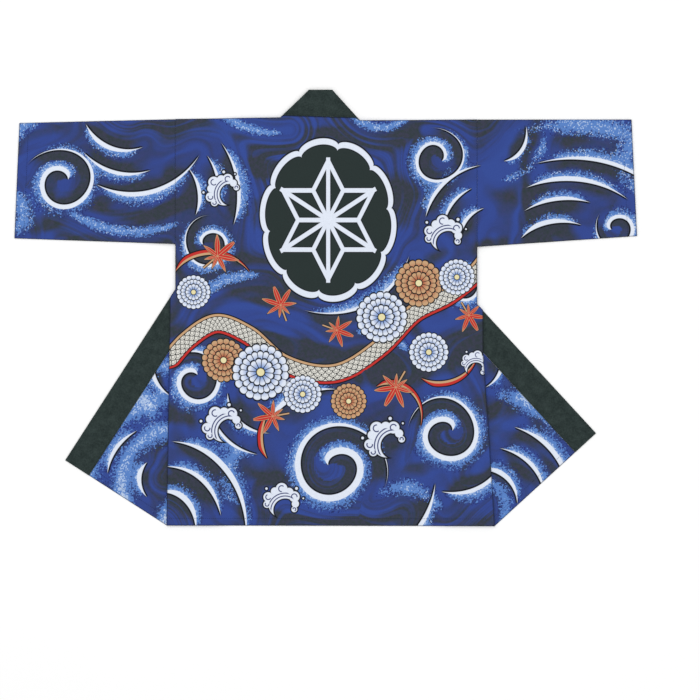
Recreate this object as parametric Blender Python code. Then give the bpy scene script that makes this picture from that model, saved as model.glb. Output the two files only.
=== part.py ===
"""A happi coat laid flat on its front: a short, straight-cut cotton jacket with tube sleeves and a band collar.

Its back panel is uppermost. Each front lies under the back, printed side down, and is folded under along a line
from the hem's corner to the neck, so that its free corner comes out beside the body with the printed side up. The
collar band follows the neck and the free edges of both fronts.

Every piece is cut flat, as a pattern, and then laid: the pattern is divided into cells, each point is put on its
layer of the stack, and what lies past a fold line is turned under the rest with a round bend.

Units are metres. +Z is up, +Y points to the neck, and the origin is on the surface, under the middle of the coat.
"""

import math
from collections import namedtuple

import bmesh
import bpy
from mathutils import Vector

CLOTH_WALL = 0.0012  # printed cotton
BAND_WALL = 0.0020  # the collar band, folded from several layers of plain cotton
GAP = 0.0003  # between two pieces, side by side or one on the other
BAND_WIDTH = 0.0566  # across the collar band
CELL = 0.030  # side of a cell in a pattern
BEND_STEPS = 4  # faces round a fold
TUBE_STATIONS = 10  # cells along a sleeve
TUBE_ROWS = 8  # cells across each layer of a sleeve
LEDGE = 0.042  # how far a layer stays level past the edge of what it lies on
LEDGE_STEP = 0.015  # how much further that is on the next layer up
SLOPE = 0.060  # length of the slope by which a layer then comes down
SMALL = 1e-6  # points nearer than this are one point

COTTON = (0.045, 0.075, 0.330, 1.0)
COLLAR_COTTON = (0.025, 0.038, 0.036, 1.0)

Side = namedtuple(
    "Side",
    "name out neck neck_seam collar_top fold_top shoulder armpit cuff_top cuff_foot flare_start flare_corner edge",
)
SIDES = (
    Side(
        name="left",
        out=-1,
        neck=(-0.0914, 0.3810),
        neck_seam=(-0.0850, 0.3850),
        collar_top=(-0.0336, 0.4362),
        fold_top=(-0.0385, 0.4200),
        shoulder=(-0.3004, 0.3780),
        armpit=(-0.3004, 0.1280),
        cuff_top=(-0.6122, 0.3704),
        cuff_foot=(-0.6222, 0.1394),
        flare_start=(-0.3120, 0.0204),
        flare_corner=(-0.5208, -0.3040),
        edge=((-0.3004, 0.0380), (-0.3106, 0.0224), (-0.3180, -0.4344)),
    ),
    Side(
        name="right",
        out=1,
        neck=(0.0692, 0.3752),
        neck_seam=(0.0600, 0.3802),
        collar_top=(0.0136, 0.4362),
        fold_top=(0.0204, 0.3138),
        shoulder=(0.3028, 0.3772),
        armpit=(0.3028, 0.1224),
        cuff_top=(0.6112, 0.3774),
        cuff_foot=(0.6222, 0.1440),
        flare_start=(0.3134, -0.0036),
        flare_corner=(0.5406, -0.2500),
        edge=((0.3028, 0.0078), (0.3142, -0.0036), (0.3146, -0.0936), (0.3250, -0.2336), (0.3378, -0.4357)),
    ),
)


def clear_scene():
    for thing in list(bpy.data.objects):
        bpy.data.objects.remove(thing, do_unlink=True)


def cotton(name, colour, roughness):
    """A matt woven finish in one colour."""
    material = bpy.data.materials.new(name)
    material.use_nodes = True
    shader = material.node_tree.nodes["Principled BSDF"]
    shader.inputs["Base Color"].default_value = colour
    shader.inputs["Roughness"].default_value = roughness
    shader.inputs["Metallic"].default_value = 0.0
    return material


def crossing(point_a, along_a, point_b, along_b):
    """Where the line through point_a meets the line through point_b."""
    size = along_a.x * along_b.y - along_a.y * along_b.x
    gap = point_b - point_a
    return point_a + along_a * ((gap.x * along_b.y - gap.y * along_b.x) / size)


def outside(point, region):
    """How far a point is outside a convex region, or 0 inside it. The region's corners may run either way."""
    inside = set()
    nearest = math.inf
    for start, end in zip(region, region[1:] + region[:1]):
        along = end - start
        across = point - start
        inside.add(along.x * across.y - along.y * across.x > 0)
        share = min(max(across.dot(along) / along.length_squared, 0.0), 1.0)
        nearest = min(nearest, (across - along * share).length)
    return 0.0 if len(inside) == 1 else nearest


class Front:
    """The lines of one side of the coat that its front, its collar band and the layers above them share."""

    def __init__(self, side):
        self.side = side
        self.hem_corner = Vector(side.edge[-1])
        self.fold_top = Vector(side.fold_top)
        self.up = (self.fold_top - self.hem_corner).normalized()
        self.outward = Vector((self.up.y, -self.up.x)) * side.out
        start = Vector(side.flare_start)
        corner = Vector(side.flare_corner)
        self.free_edge = [corner, start, self.fold_top]
        hem = (self.hem_corner - corner).normalized()
        low = (start - corner).normalized()
        high = (self.fold_top - start).normalized()
        inward = Vector((low.y, -low.x)) * -side.out
        self.inward_low = inward
        self.inward_high = Vector((high.y, -high.x)) * -side.out
        self.hem = hem
        self.low = low
        self.high = high

    def sewn_edge(self, width):
        """The line this far in from the free edge, as laid: hem, elbow, and where it meets the fold line."""
        corner, start, _ = self.free_edge
        foot = crossing(corner + self.inward_low * width, self.low, corner, self.hem)
        elbow = start + (self.inward_low + self.inward_high).normalized() * width
        head = crossing(elbow, self.high, self.hem_corner, self.up)
        return [foot, elbow, head]

    def bend_length(self, wall):
        return math.pi * (wall + GAP) / 2

    def unfold(self, laid, wall):
        """The pattern's point for a point of the turned-under part, as laid."""
        reach = laid - self.hem_corner
        across = -(reach.dot(self.outward) + self.bend_length(wall))
        return self.hem_corner + self.up * reach.dot(self.up) + self.outward * across

    def band_below(self):
        """The turned-under stretch of the band, as laid."""
        foot, elbow, head = self.sewn_edge(BAND_WIDTH)
        return [self.free_edge[0], foot, elbow, head, self.fold_top]

    def flare_below(self):
        """All of the turned-under part, as laid."""
        return [self.free_edge[0], self.hem_corner, self.fold_top]

    def band_above(self):
        """The stretch of the band that isn't turned under."""
        head = self.sewn_edge(BAND_WIDTH)[-1]
        return [Vector(self.side.collar_top), Vector(self.side.neck), head, self.fold_top]

    def cloth_above(self):
        """The stretch of the front's cloth that isn't turned under."""
        head = self.sewn_edge(BAND_WIDTH)[-1]
        return [Vector(self.side.shoulder), self.hem_corner, head, Vector(self.side.neck)]

    def sleeve(self):
        side = self.side
        return [Vector(side.shoulder), Vector(side.cuff_top), Vector(side.cuff_foot), Vector(side.armpit)]


class Stack:
    """The height of each layer's underside above the surface: level over what it lies on, with soft slopes."""

    def __init__(self, fronts):
        self.flares = [front.flare_below() for front in fronts]
        self.bands_below = [front.band_below() for front in fronts]
        self.cloths_above = [front.cloth_above() for front in fronts] + [front.sleeve() for front in fronts]
        self.bands_above = [front.band_above() for front in fronts]

    def cover(self, point, regions, layer):
        """1 over the regions and on a ledge round them, and from there down a slope to 0."""
        away = min(outside(point, region) for region in regions)
        share = (LEDGE + LEDGE_STEP * layer + SLOPE - away) / SLOPE
        share = min(max(share, 0.0), 1.0)
        return share * share * (3 - 2 * share)

    def surface(self, _):
        return 0.0

    def middle(self, point, layer=1):
        """The underside of the fronts' upper part: it lies on what is turned under."""
        cloth = (CLOTH_WALL + GAP) * self.cover(point, self.flares, layer)
        return cloth + (BAND_WALL - CLOTH_WALL) * self.cover(point, self.bands_below, layer)

    def top(self, point):
        """The underside of the back panel: it lies on the fronts."""
        cloth = (CLOTH_WALL + GAP) * self.cover(point, self.cloths_above + self.bands_above, 2)
        band = (BAND_WALL - CLOTH_WALL) * self.cover(point, self.bands_above, 2)
        return self.middle(point, 2) + cloth + band


def cut_pattern(outline, fold_lines):
    """A flat mesh of this outline, divided into cells, and along each (point, direction) of the fold lines."""
    mesh = bmesh.new()
    mesh.faces.new([mesh.verts.new((point.x, point.y, 0)) for point in outline])
    cuts = []
    for axis in range(2):
        low = min(point[axis] for point in outline)
        high = max(point[axis] for point in outline)
        count = max(1, math.ceil((high - low) / CELL))
        normal = Vector((1, 0, 0)) if axis == 0 else Vector((0, 1, 0))
        for index in range(1, count):
            cuts.append((normal * (low + (high - low) * index / count), normal))
    for point, along in fold_lines:
        cuts.append((point.to_3d(), Vector((-along.y, along.x, 0))))
    for point, normal in cuts:
        everything = mesh.verts[:] + mesh.edges[:] + mesh.faces[:]
        bmesh.ops.bisect_plane(mesh, geom=everything, dist=SMALL, plane_co=point, plane_no=normal)
    bmesh.ops.triangulate(mesh, faces=mesh.faces[:])
    return mesh


def close_wall(name, pattern, place, material):
    """A solid from a pattern: place(point, inner) gives where each side of the cloth is, and a rim joins them."""
    mesh = bmesh.new()
    sides = []
    for inner in (False, True):
        sides.append({vert: mesh.verts.new(place(vert.co.to_2d(), inner)) for vert in pattern.verts})
    for face in pattern.faces:
        for side in sides:
            mesh.faces.new([side[vert] for vert in face.verts])
    for edge in pattern.edges:
        if edge.is_boundary:
            start, end = edge.verts
            mesh.faces.new([sides[0][start], sides[0][end], sides[1][end], sides[1][start]])
    pattern.free()
    return add_object(name, mesh, material)


def add_object(name, mesh, material):
    bmesh.ops.triangulate(mesh, faces=mesh.faces[:])
    bmesh.ops.recalc_face_normals(mesh, faces=mesh.faces[:])
    data = bpy.data.meshes.new(name)
    mesh.to_mesh(data)
    mesh.free()
    data.materials.append(material)
    thing = bpy.data.objects.new(name, data)
    bpy.context.scene.collection.objects.link(thing)
    return thing


def lay_flat(name, outline, wall, under, material):
    """A piece with no fold, whose underside is at the height under(point)."""

    def place(point, inner):
        return (point.x, point.y, under(point) + (0 if inner else wall))

    return close_wall(name, cut_pattern(outline, []), place, material)


def lay_folded(name, outline, wall, front, upper, lower, material):
    """A piece that is turned under along its front's fold line. The inner side is the one inside the fold."""
    bend = front.bend_length(wall)

    def place(point, inner):
        reach = point - front.hem_corner
        along = reach.dot(front.up)
        across = reach.dot(front.outward)
        if across >= 0:
            return (point.x, point.y, upper(point) + (0 if inner else wall))
        if across <= -bend:
            laid = front.hem_corner + front.up * along + front.outward * (-across - bend)
            return (laid.x, laid.y, lower(laid) + (wall if inner else 0))
        axis = front.hem_corner + front.up * along
        high = upper(axis) + (0 if inner else wall)
        low = lower(axis) + (wall if inner else 0)
        bulge = GAP / 2 if inner else wall + GAP / 2
        turn = math.pi * (0.5 + across / bend)
        laid = axis - front.outward * bulge * math.cos(turn)
        return (laid.x, laid.y, (high + low) / 2 + (high - low) / 2 * math.sin(turn))

    steps = [bend * index / BEND_STEPS for index in range(BEND_STEPS + 1)]
    fold_lines = [(front.hem_corner - front.outward * step, front.up) for step in steps]
    return close_wall(name, cut_pattern(outline, fold_lines), place, material)


def build_back(fronts, stack, material):
    """The back panel: down the right side, along the hem, up the left side and back along the shoulders."""
    left, right = (front.side for front in fronts)
    outline = []
    for side in (right, left):
        inset = Vector((side.out * GAP / 2, 0))
        half = [Vector(side.neck_seam), Vector(side.neck)]
        half += [Vector(side.shoulder) - inset, Vector(side.armpit) - inset]
        half += [Vector(corner) for corner in side.edge]
        outline += half if side is right else half[::-1]
    return lay_flat("back_panel", outline, CLOTH_WALL, stack.top, material)


def build_front(front, stack, material):
    """One front: the upper part's outline down the side, then the turned-under part's, hem first."""
    side = front.side
    inset = Vector((side.out * GAP / 2, 0))
    seam = front.sewn_edge(BAND_WIDTH + GAP / 2)
    outline = [Vector(side.neck), Vector(side.shoulder) - inset, Vector(side.armpit) - inset]
    outline += [Vector(corner) for corner in side.edge]
    outline += [front.unfold(point, CLOTH_WALL) for point in [front.hem_corner, *seam]]
    outline.append(seam[-1])
    name = f"front_{side.name}"
    return lay_folded(name, outline, CLOTH_WALL, front, stack.middle, stack.surface, material)


def build_band(front, stack, material):
    """The collar band down one front: the turned-under part's outline up the free edge, then the upper part's."""
    side = front.side
    seam = front.sewn_edge(BAND_WIDTH - GAP / 2)
    below = [*seam[::-1], *front.free_edge]
    outline = [front.unfold(point, BAND_WALL) for point in below]
    inset = Vector((-side.out * GAP, 0))
    outline += [front.fold_top, Vector(side.collar_top) + inset, Vector(side.neck) + inset, seam[-1]]
    name = f"collar_{side.name}"
    return lay_folded(name, outline, BAND_WALL, front, stack.middle, stack.surface, material)


def build_collar_neck(fronts, stack, material):
    """The collar band behind the neck, between its two mitre folds."""
    left, right = (front.side for front in fronts)
    lift = Vector((0, GAP))
    outline = [Vector(left.neck_seam) + lift, Vector(right.neck_seam) + lift]
    outline += [Vector(right.collar_top), Vector(left.collar_top)]
    return lay_flat("collar_neck", outline, BAND_WALL, stack.top, material)


def sleeve_ring(side, stack, share):
    """The outer and inner loops of a sleeve's section, this share of the way from the cuff to the armhole."""
    bulge = CLOTH_WALL + GAP / 2
    inset = Vector((side.out * GAP / 2, 0))
    foot = Vector(side.cuff_foot).lerp(Vector(side.armpit) + inset, share)
    top = Vector(side.cuff_top).lerp(Vector(side.shoulder) + inset, share)
    up = (top - foot).normalized()
    loops = ([], [])
    for inner, loop in enumerate(loops):
        for low_first in (True, False):
            for row in range(TUBE_ROWS + 1):
                step = row / TUBE_ROWS if low_first else 1 - row / TUBE_ROWS
                spot = (foot + up * bulge).lerp(top - up * bulge, step)
                height = stack.middle(spot) if low_first else stack.top(spot)
                wall_up = bool(inner) == low_first
                loop.append((spot.x, spot.y, height + (CLOTH_WALL if wall_up else 0)))
            end = top - up * bulge if low_first else foot + up * bulge
            way = up if low_first else -up
            low = stack.middle(end) + (CLOTH_WALL if inner else 0)
            high = stack.top(end) + (0 if inner else CLOTH_WALL)
            reach = GAP / 2 if inner else bulge
            for step in range(1, BEND_STEPS):
                turn = math.pi * (step / BEND_STEPS - 0.5)
                turn = turn if low_first else -turn
                spot = end + way * reach * math.cos(turn)
                loop.append((spot.x, spot.y, (high + low) / 2 + (high - low) / 2 * math.sin(turn)))
    return loops


def build_sleeve(front, stack, material):
    """A sleeve: a flat tube, open at the cuff and the armhole, from rings joined one to the next."""
    mesh = bmesh.new()
    rings = []
    for station in range(TUBE_STATIONS + 1):
        loops = sleeve_ring(front.side, stack, station / TUBE_STATIONS)
        rings.append([[mesh.verts.new(spot) for spot in loop] for loop in loops])
    around = len(rings[0][0])
    for index in range(around):
        after = (index + 1) % around
        for here, there in zip(rings, rings[1:]):
            for loop in range(2):
                mesh.faces.new([here[loop][index], here[loop][after], there[loop][after], there[loop][index]])
        for outer, inner in (rings[0], rings[-1]):
            mesh.faces.new([outer[index], outer[after], inner[after], inner[index]])
    return add_object(f"sleeve_{front.side.name}", mesh, material)


def build_coat():
    clear_scene()
    printed = cotton("printed_cotton", COTTON, 0.85)
    plain = cotton("collar_cotton", COLLAR_COTTON, 0.9)
    fronts = [Front(side) for side in SIDES]
    stack = Stack(fronts)
    build_back(fronts, stack, printed)
    build_collar_neck(fronts, stack, plain)
    for front in fronts:
        build_front(front, stack, printed)
        build_band(front, stack, plain)
        build_sleeve(front, stack, printed)


build_coat()
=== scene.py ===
"""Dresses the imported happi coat: shells of printed cotton, plain collar bands, stitching, a floor, light and a camera.

Every shell starts as one flat grid. Its points are put on the layer of the stack that the piece lies on, and the wall
is then thickened. The print is worked out in metres over the coat and kept on the shells' points, so that it turns
with the cloth at every fold.
"""

import logging
import math
from dataclasses import dataclass, field
from enum import Enum
from typing import Callable, NamedTuple, Sequence

import bmesh
import bpy
import numpy as np
from mathutils import Matrix, Vector


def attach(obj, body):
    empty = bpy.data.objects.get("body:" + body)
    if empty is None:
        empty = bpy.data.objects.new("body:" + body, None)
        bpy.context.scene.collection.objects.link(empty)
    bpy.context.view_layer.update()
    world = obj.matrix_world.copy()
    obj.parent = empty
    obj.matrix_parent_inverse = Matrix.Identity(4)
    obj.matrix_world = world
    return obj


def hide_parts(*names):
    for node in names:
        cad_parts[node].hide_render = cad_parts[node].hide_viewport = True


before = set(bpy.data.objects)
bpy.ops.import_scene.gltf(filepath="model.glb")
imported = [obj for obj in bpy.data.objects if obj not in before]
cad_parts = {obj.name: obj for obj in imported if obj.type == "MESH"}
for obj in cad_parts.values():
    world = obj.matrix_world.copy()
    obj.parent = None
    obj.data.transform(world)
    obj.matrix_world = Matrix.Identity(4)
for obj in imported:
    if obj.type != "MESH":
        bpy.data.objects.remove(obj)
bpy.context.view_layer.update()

log = logging.getLogger("happi_coat")

CLOTH_WALL = 0.0012  # room for the printed cotton in the stack
BAND_WALL = 0.0020  # room for the collar band in the stack
GAP = 0.0003  # between two pieces in the stack
TRIM = 0.0002  # how far each face of a shell stays inside its room
BAND_WIDTH = 0.0566  # of the collar
LEDGE = 0.042  # how far a layer stays level past the edge of what it lies on
LEDGE_STEP = 0.015  # how much further that is on the next layer up
SLOPE = 0.060  # length of the slope by which a layer then comes down
BEND_STEPS = 4  # faces round a fold
HEM_RISE = 0.0003  # how much thicker a hem is
HEM_OVER = 0.001  # how far past its depth a hem's step goes
HEM_STEP = 0.003  # length of that step
THREAD_WEAVE = 9000.0  # the angle of a sewing thread's waves in a metre
MILLI = 1000.0  # millimetres in a metre

Colour = tuple[float, float, float, float]
Place = tuple[float, float]
Corners = Sequence[Sequence[float]]  # of a line of straight stretches, or of a region
Array, Socket, Material = np.ndarray, bpy.types.NodeSocket, bpy.types.Material
Underside = Callable[[Array], Array]  # a layer's height at points


def shade_of(red: int, green: int, blue: int) -> Colour:
    """Turns a colour on a 0 to 255 scale into linear light.

    Args:
        red: Its red part.
        green: Its green part.
        blue: Its blue part.

    Returns:
        The colour as linear red, green, blue and alpha.
    """
    parts = []
    for part in (red, green, blue):
        value = part / 255
        parts.append(value / 12.92 if value <= 0.04045 else ((value + 0.055) / 1.055) ** 2.4)
    return (parts[0], parts[1], parts[2], 1.0)


def smooth(value: Array) -> Array:
    """A soft step from 0 at 0 to 1 at 1."""
    value = np.clip(value, 0.0, 1.0)
    return value * value * (3 - 2 * value)


def rows_of(line: Corners) -> Array:
    """A line's corners as rows of x and y."""
    return np.array([(corner[0], corner[1]) for corner in line])


# --- The cut and the stack of layers ---


@dataclass(frozen=True)
class CutSide:
    """The corners of one side of the coat, as it lies, in metres."""

    name: str
    out: int  # the sign of x on this side
    neck: Place
    neck_seam: Place
    collar_top: Place
    fold_top: Place
    shoulder: Place
    armpit: Place
    cuff_top: Place
    cuff_foot: Place
    flare_start: Place
    flare_corner: Place
    edge: tuple[Place, ...]  # the back panel's side edge, from the armhole down

    def seam(self, out: float) -> tuple[Place, Place]:
        """The armhole seam's foot and head, moved this far outwards."""
        move = self.out * out
        return (self.armpit[0] + move, self.armpit[1]), (self.shoulder[0] + move, self.shoulder[1])


LEFT = CutSide(
    name="left",
    out=-1,
    neck=(-0.0914, 0.3810),
    neck_seam=(-0.0850, 0.3850),
    collar_top=(-0.0336, 0.4362),
    fold_top=(-0.0385, 0.4200),
    shoulder=(-0.3004, 0.3780),
    armpit=(-0.3004, 0.1280),
    cuff_top=(-0.6122, 0.3704),
    cuff_foot=(-0.6222, 0.1394),
    flare_start=(-0.3120, 0.0204),
    flare_corner=(-0.5208, -0.3040),
    edge=((-0.3004, 0.0380), (-0.3106, 0.0224), (-0.3180, -0.4344)),
)
RIGHT = CutSide(
    name="right",
    out=1,
    neck=(0.0692, 0.3752),
    neck_seam=(0.0600, 0.3802),
    collar_top=(0.0136, 0.4362),
    fold_top=(0.0204, 0.3138),
    shoulder=(0.3028, 0.3772),
    armpit=(0.3028, 0.1224),
    cuff_top=(0.6112, 0.3774),
    cuff_foot=(0.6222, 0.1440),
    flare_start=(0.3134, -0.0036),
    flare_corner=(0.5406, -0.2500),
    edge=((0.3028, 0.0078), (0.3142, -0.0036), (0.3146, -0.0936), (0.3250, -0.2336), (0.3378, -0.4357)),
)


def crossing(point_a: Vector, along_a: Vector, point_b: Vector, along_b: Vector) -> Vector:
    """Where the line through one point, in one direction, meets the line through another point, in another."""
    gap, size = point_b - point_a, along_a.x * along_b.y - along_a.y * along_b.x
    return point_a + along_a * ((gap.x * along_b.y - gap.y * along_b.x) / size)


def segment_distances(points: Array, line: Corners, closed: bool = False) -> Array:
    """How far points are from a line of straight stretches.

    Args:
        points: Rows of x and y.
        line: The line's corners.
        closed: Whether the last corner joins the first.

    Returns:
        A distance for each point.
    """
    corners = rows_of(line)
    starts = corners if closed else corners[:-1]
    ends = np.roll(corners, -1, axis=0) if closed else corners[1:]
    nearest = np.full(len(points), np.inf)
    for start, end in zip(starts, ends):
        along = end - start
        across = points - start
        share = np.clip(across @ along / (along @ along), 0.0, 1.0)
        nearest = np.minimum(nearest, np.linalg.norm(across - share[:, None] * along, axis=1))
    return nearest


def outside(points: Array, region: Corners) -> Array:
    """How far points are outside a convex region, with 0 inside it.

    Args:
        points: Rows of x and y.
        region: The region's corners, either way round.

    Returns:
        A distance for each point.
    """
    corners = rows_of(region)
    along = np.roll(corners, -1, axis=0) - corners
    across = points[:, None, :] - corners[None]
    turn = along[None, :, 0] * across[..., 1] - along[None, :, 1] * across[..., 0] > 0
    within = turn.all(axis=1) | ~turn.any(axis=1)
    return np.where(within, 0.0, segment_distances(points, region, closed=True))


class FrontLines:
    """The lines of one side of the coat that its front, its collar band and the layers above them share."""

    def __init__(self, side: CutSide) -> None:
        """Works out the fold line and the free edge.

        Args:
            side: The corners of this side.
        """
        self.side = side
        self.hem_corner = Vector(side.edge[-1])
        self.fold_top = Vector(side.fold_top)
        self.up = (self.fold_top - self.hem_corner).normalized()
        self.outward = Vector((self.up.y, -self.up.x)) * side.out
        self.corner = Vector(side.flare_corner)
        self.start = Vector(side.flare_start)
        self.hem = (self.hem_corner - self.corner).normalized()
        self.low = (self.start - self.corner).normalized()
        self.high = (self.fold_top - self.start).normalized()
        self.inward_low = Vector((self.low.y, -self.low.x)) * -side.out
        self.inward_high = Vector((self.high.y, -self.high.x)) * -side.out

    def sewn_edge(self, width: float) -> list[Vector]:
        """The line this far in from the free edge.

        Args:
            width: The distance from the free edge.

        Returns:
            The foot on the hem, the elbow, and the head on the fold line.
        """
        foot = crossing(self.corner + self.inward_low * width, self.low, self.corner, self.hem)
        elbow = self.start + (self.inward_low + self.inward_high).normalized() * width
        head = crossing(elbow, self.high, self.hem_corner, self.up)
        return [foot, elbow, head]

    def head(self) -> Vector:
        """Where the band's sewn edge crosses the fold line."""
        return self.sewn_edge(BAND_WIDTH)[-1]

    def flare_below(self) -> list[Vector]:
        """All of the turned-under part."""
        return [self.corner, self.hem_corner, self.fold_top]

    def band_below(self) -> list[Vector]:
        """The turned-under stretch of the band."""
        return [self.corner, *self.sewn_edge(BAND_WIDTH), self.fold_top]

    def band_above(self) -> list[Vector]:
        """The stretch of the band that isn't turned under."""
        return [Vector(self.side.collar_top), Vector(self.side.neck), self.head(), self.fold_top]

    def cloth_above(self) -> list[Vector]:
        """The stretch of the front's cloth that isn't turned under."""
        return [Vector(self.side.shoulder), self.hem_corner, self.head(), Vector(self.side.neck)]

    def sleeve(self) -> list[Vector]:
        """The sleeve's four corners."""
        side = self.side
        return [Vector(side.shoulder), Vector(side.cuff_top), Vector(side.cuff_foot), Vector(side.armpit)]


@dataclass(frozen=True)
class Crease:
    """A soft ridge that the cloth keeps along a line, through every layer there."""

    start: Place
    end: Place
    height: float
    width: float
    fade: float = 0.25  # share of its length over which it fades, inside and outside each end

    def lift(self, points: Array) -> Array:
        """How far the ridge lifts the cloth.

        Args:
            points: Rows of x and y.

        Returns:
            A height for each point.
        """
        start, end = np.array(self.start), np.array(self.end)
        along = end - start
        across = points - start
        share = across @ along / (along @ along)
        away = np.abs(across[:, 0] * along[1] - across[:, 1] * along[0]) / np.linalg.norm(along)
        fade = self.fade
        ends = smooth((share + fade) / (2 * fade)) * smooth((1 + fade - share) / (2 * fade))
        return self.height * np.exp(-((away / self.width) ** 2)) * ends


CREASES = (
    Crease((-0.300, 0.135), (-0.175, 0.215), 0.0011, 0.016),
    Crease((-0.306, 0.095), (-0.190, 0.060), 0.0009, 0.013),
    Crease((0.304, 0.130), (0.195, 0.232), 0.0010, 0.015),
    Crease((0.306, 0.080), (0.180, 0.020), 0.0010, 0.014),
    Crease((-0.560, 0.175), (-0.370, 0.240), 0.0012, 0.017),
    Crease((-0.520, 0.330), (-0.400, 0.352), 0.0008, 0.012),
    Crease((-0.330, 0.150), (-0.420, 0.196), 0.0009, 0.011),
    Crease((0.590, 0.190), (0.420, 0.262), 0.0011, 0.016),
    Crease((0.350, 0.158), (0.455, 0.205), 0.0009, 0.012),
    Crease((0.500, 0.345), (0.400, 0.330), 0.0008, 0.011),
    Crease((-0.050, -0.180), (-0.085, -0.400), 0.0010, 0.020),
    Crease((0.110, -0.120), (0.155, -0.330), 0.0010, 0.018),
    Crease((-0.205, -0.060), (-0.225, -0.250), 0.0008, 0.015),
    Crease((-0.395, -0.140), (-0.435, -0.300), 0.0012, 0.014),
    Crease((-0.345, -0.060), (-0.352, -0.260), 0.0010, 0.016),
    Crease((0.395, -0.130), (0.455, -0.255), 0.0012, 0.014),
    Crease((0.350, -0.160), (0.372, -0.350), 0.0010, 0.016),
)


class Stack:
    """The height of each layer's underside above the surface: level over what it lies on, with soft slopes."""

    def __init__(self, fronts: Sequence[FrontLines]) -> None:
        """Gathers what lies below each layer.

        Args:
            fronts: The lines of both sides.
        """
        self.flares = [front.flare_below() for front in fronts]
        self.bands_below = [front.band_below() for front in fronts]
        self.cloths_above = [front.cloth_above() for front in fronts] + [front.sleeve() for front in fronts]
        self.bands_above = [front.band_above() for front in fronts]

    def cover(self, points: Array, regions: Sequence[Corners], layer: int) -> Array:
        """1 over what lies below and on a ledge round it, wider on a higher layer, and from there down a slope to 0."""
        away = np.min([outside(points, region) for region in regions], axis=0)
        return smooth((LEDGE + LEDGE_STEP * layer + SLOPE - away) / SLOPE)

    def surface(self, points: Array) -> Array:
        """The underside of what is turned under: it lies on the surface."""
        return np.zeros(len(points))

    def middle(self, points: Array, layer: int = 1) -> Array:
        """The underside of the fronts' upper part: it lies on what is turned under."""
        cloth = (CLOTH_WALL + GAP) * self.cover(points, self.flares, layer)
        return cloth + (BAND_WALL - CLOTH_WALL) * self.cover(points, self.bands_below, layer)

    def top(self, points: Array) -> Array:
        """The underside of the back panel: it lies on the fronts."""
        cloth = (CLOTH_WALL + GAP) * self.cover(points, self.cloths_above + self.bands_above, 2)
        return self.middle(points, 2) + cloth + (BAND_WALL - CLOTH_WALL) * self.cover(points, self.bands_above, 2)


# --- The print ---


class Glow(Enum):
    """The side of a brush line on which its dots spread."""

    OUTSIDE = 1
    INSIDE = -1
    BOTH = 2


class Stroke(NamedTuple):
    """What a brush line draws at points: lengths in millimetres, and dots and shade from 0 to 1."""

    side: Array  # how far across the line they are, towards its dots
    width: Array  # how wide the line is there
    away: Array  # how far they are from it
    dots: Array
    shade: Array
    along: Array  # how far along it they are


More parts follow.
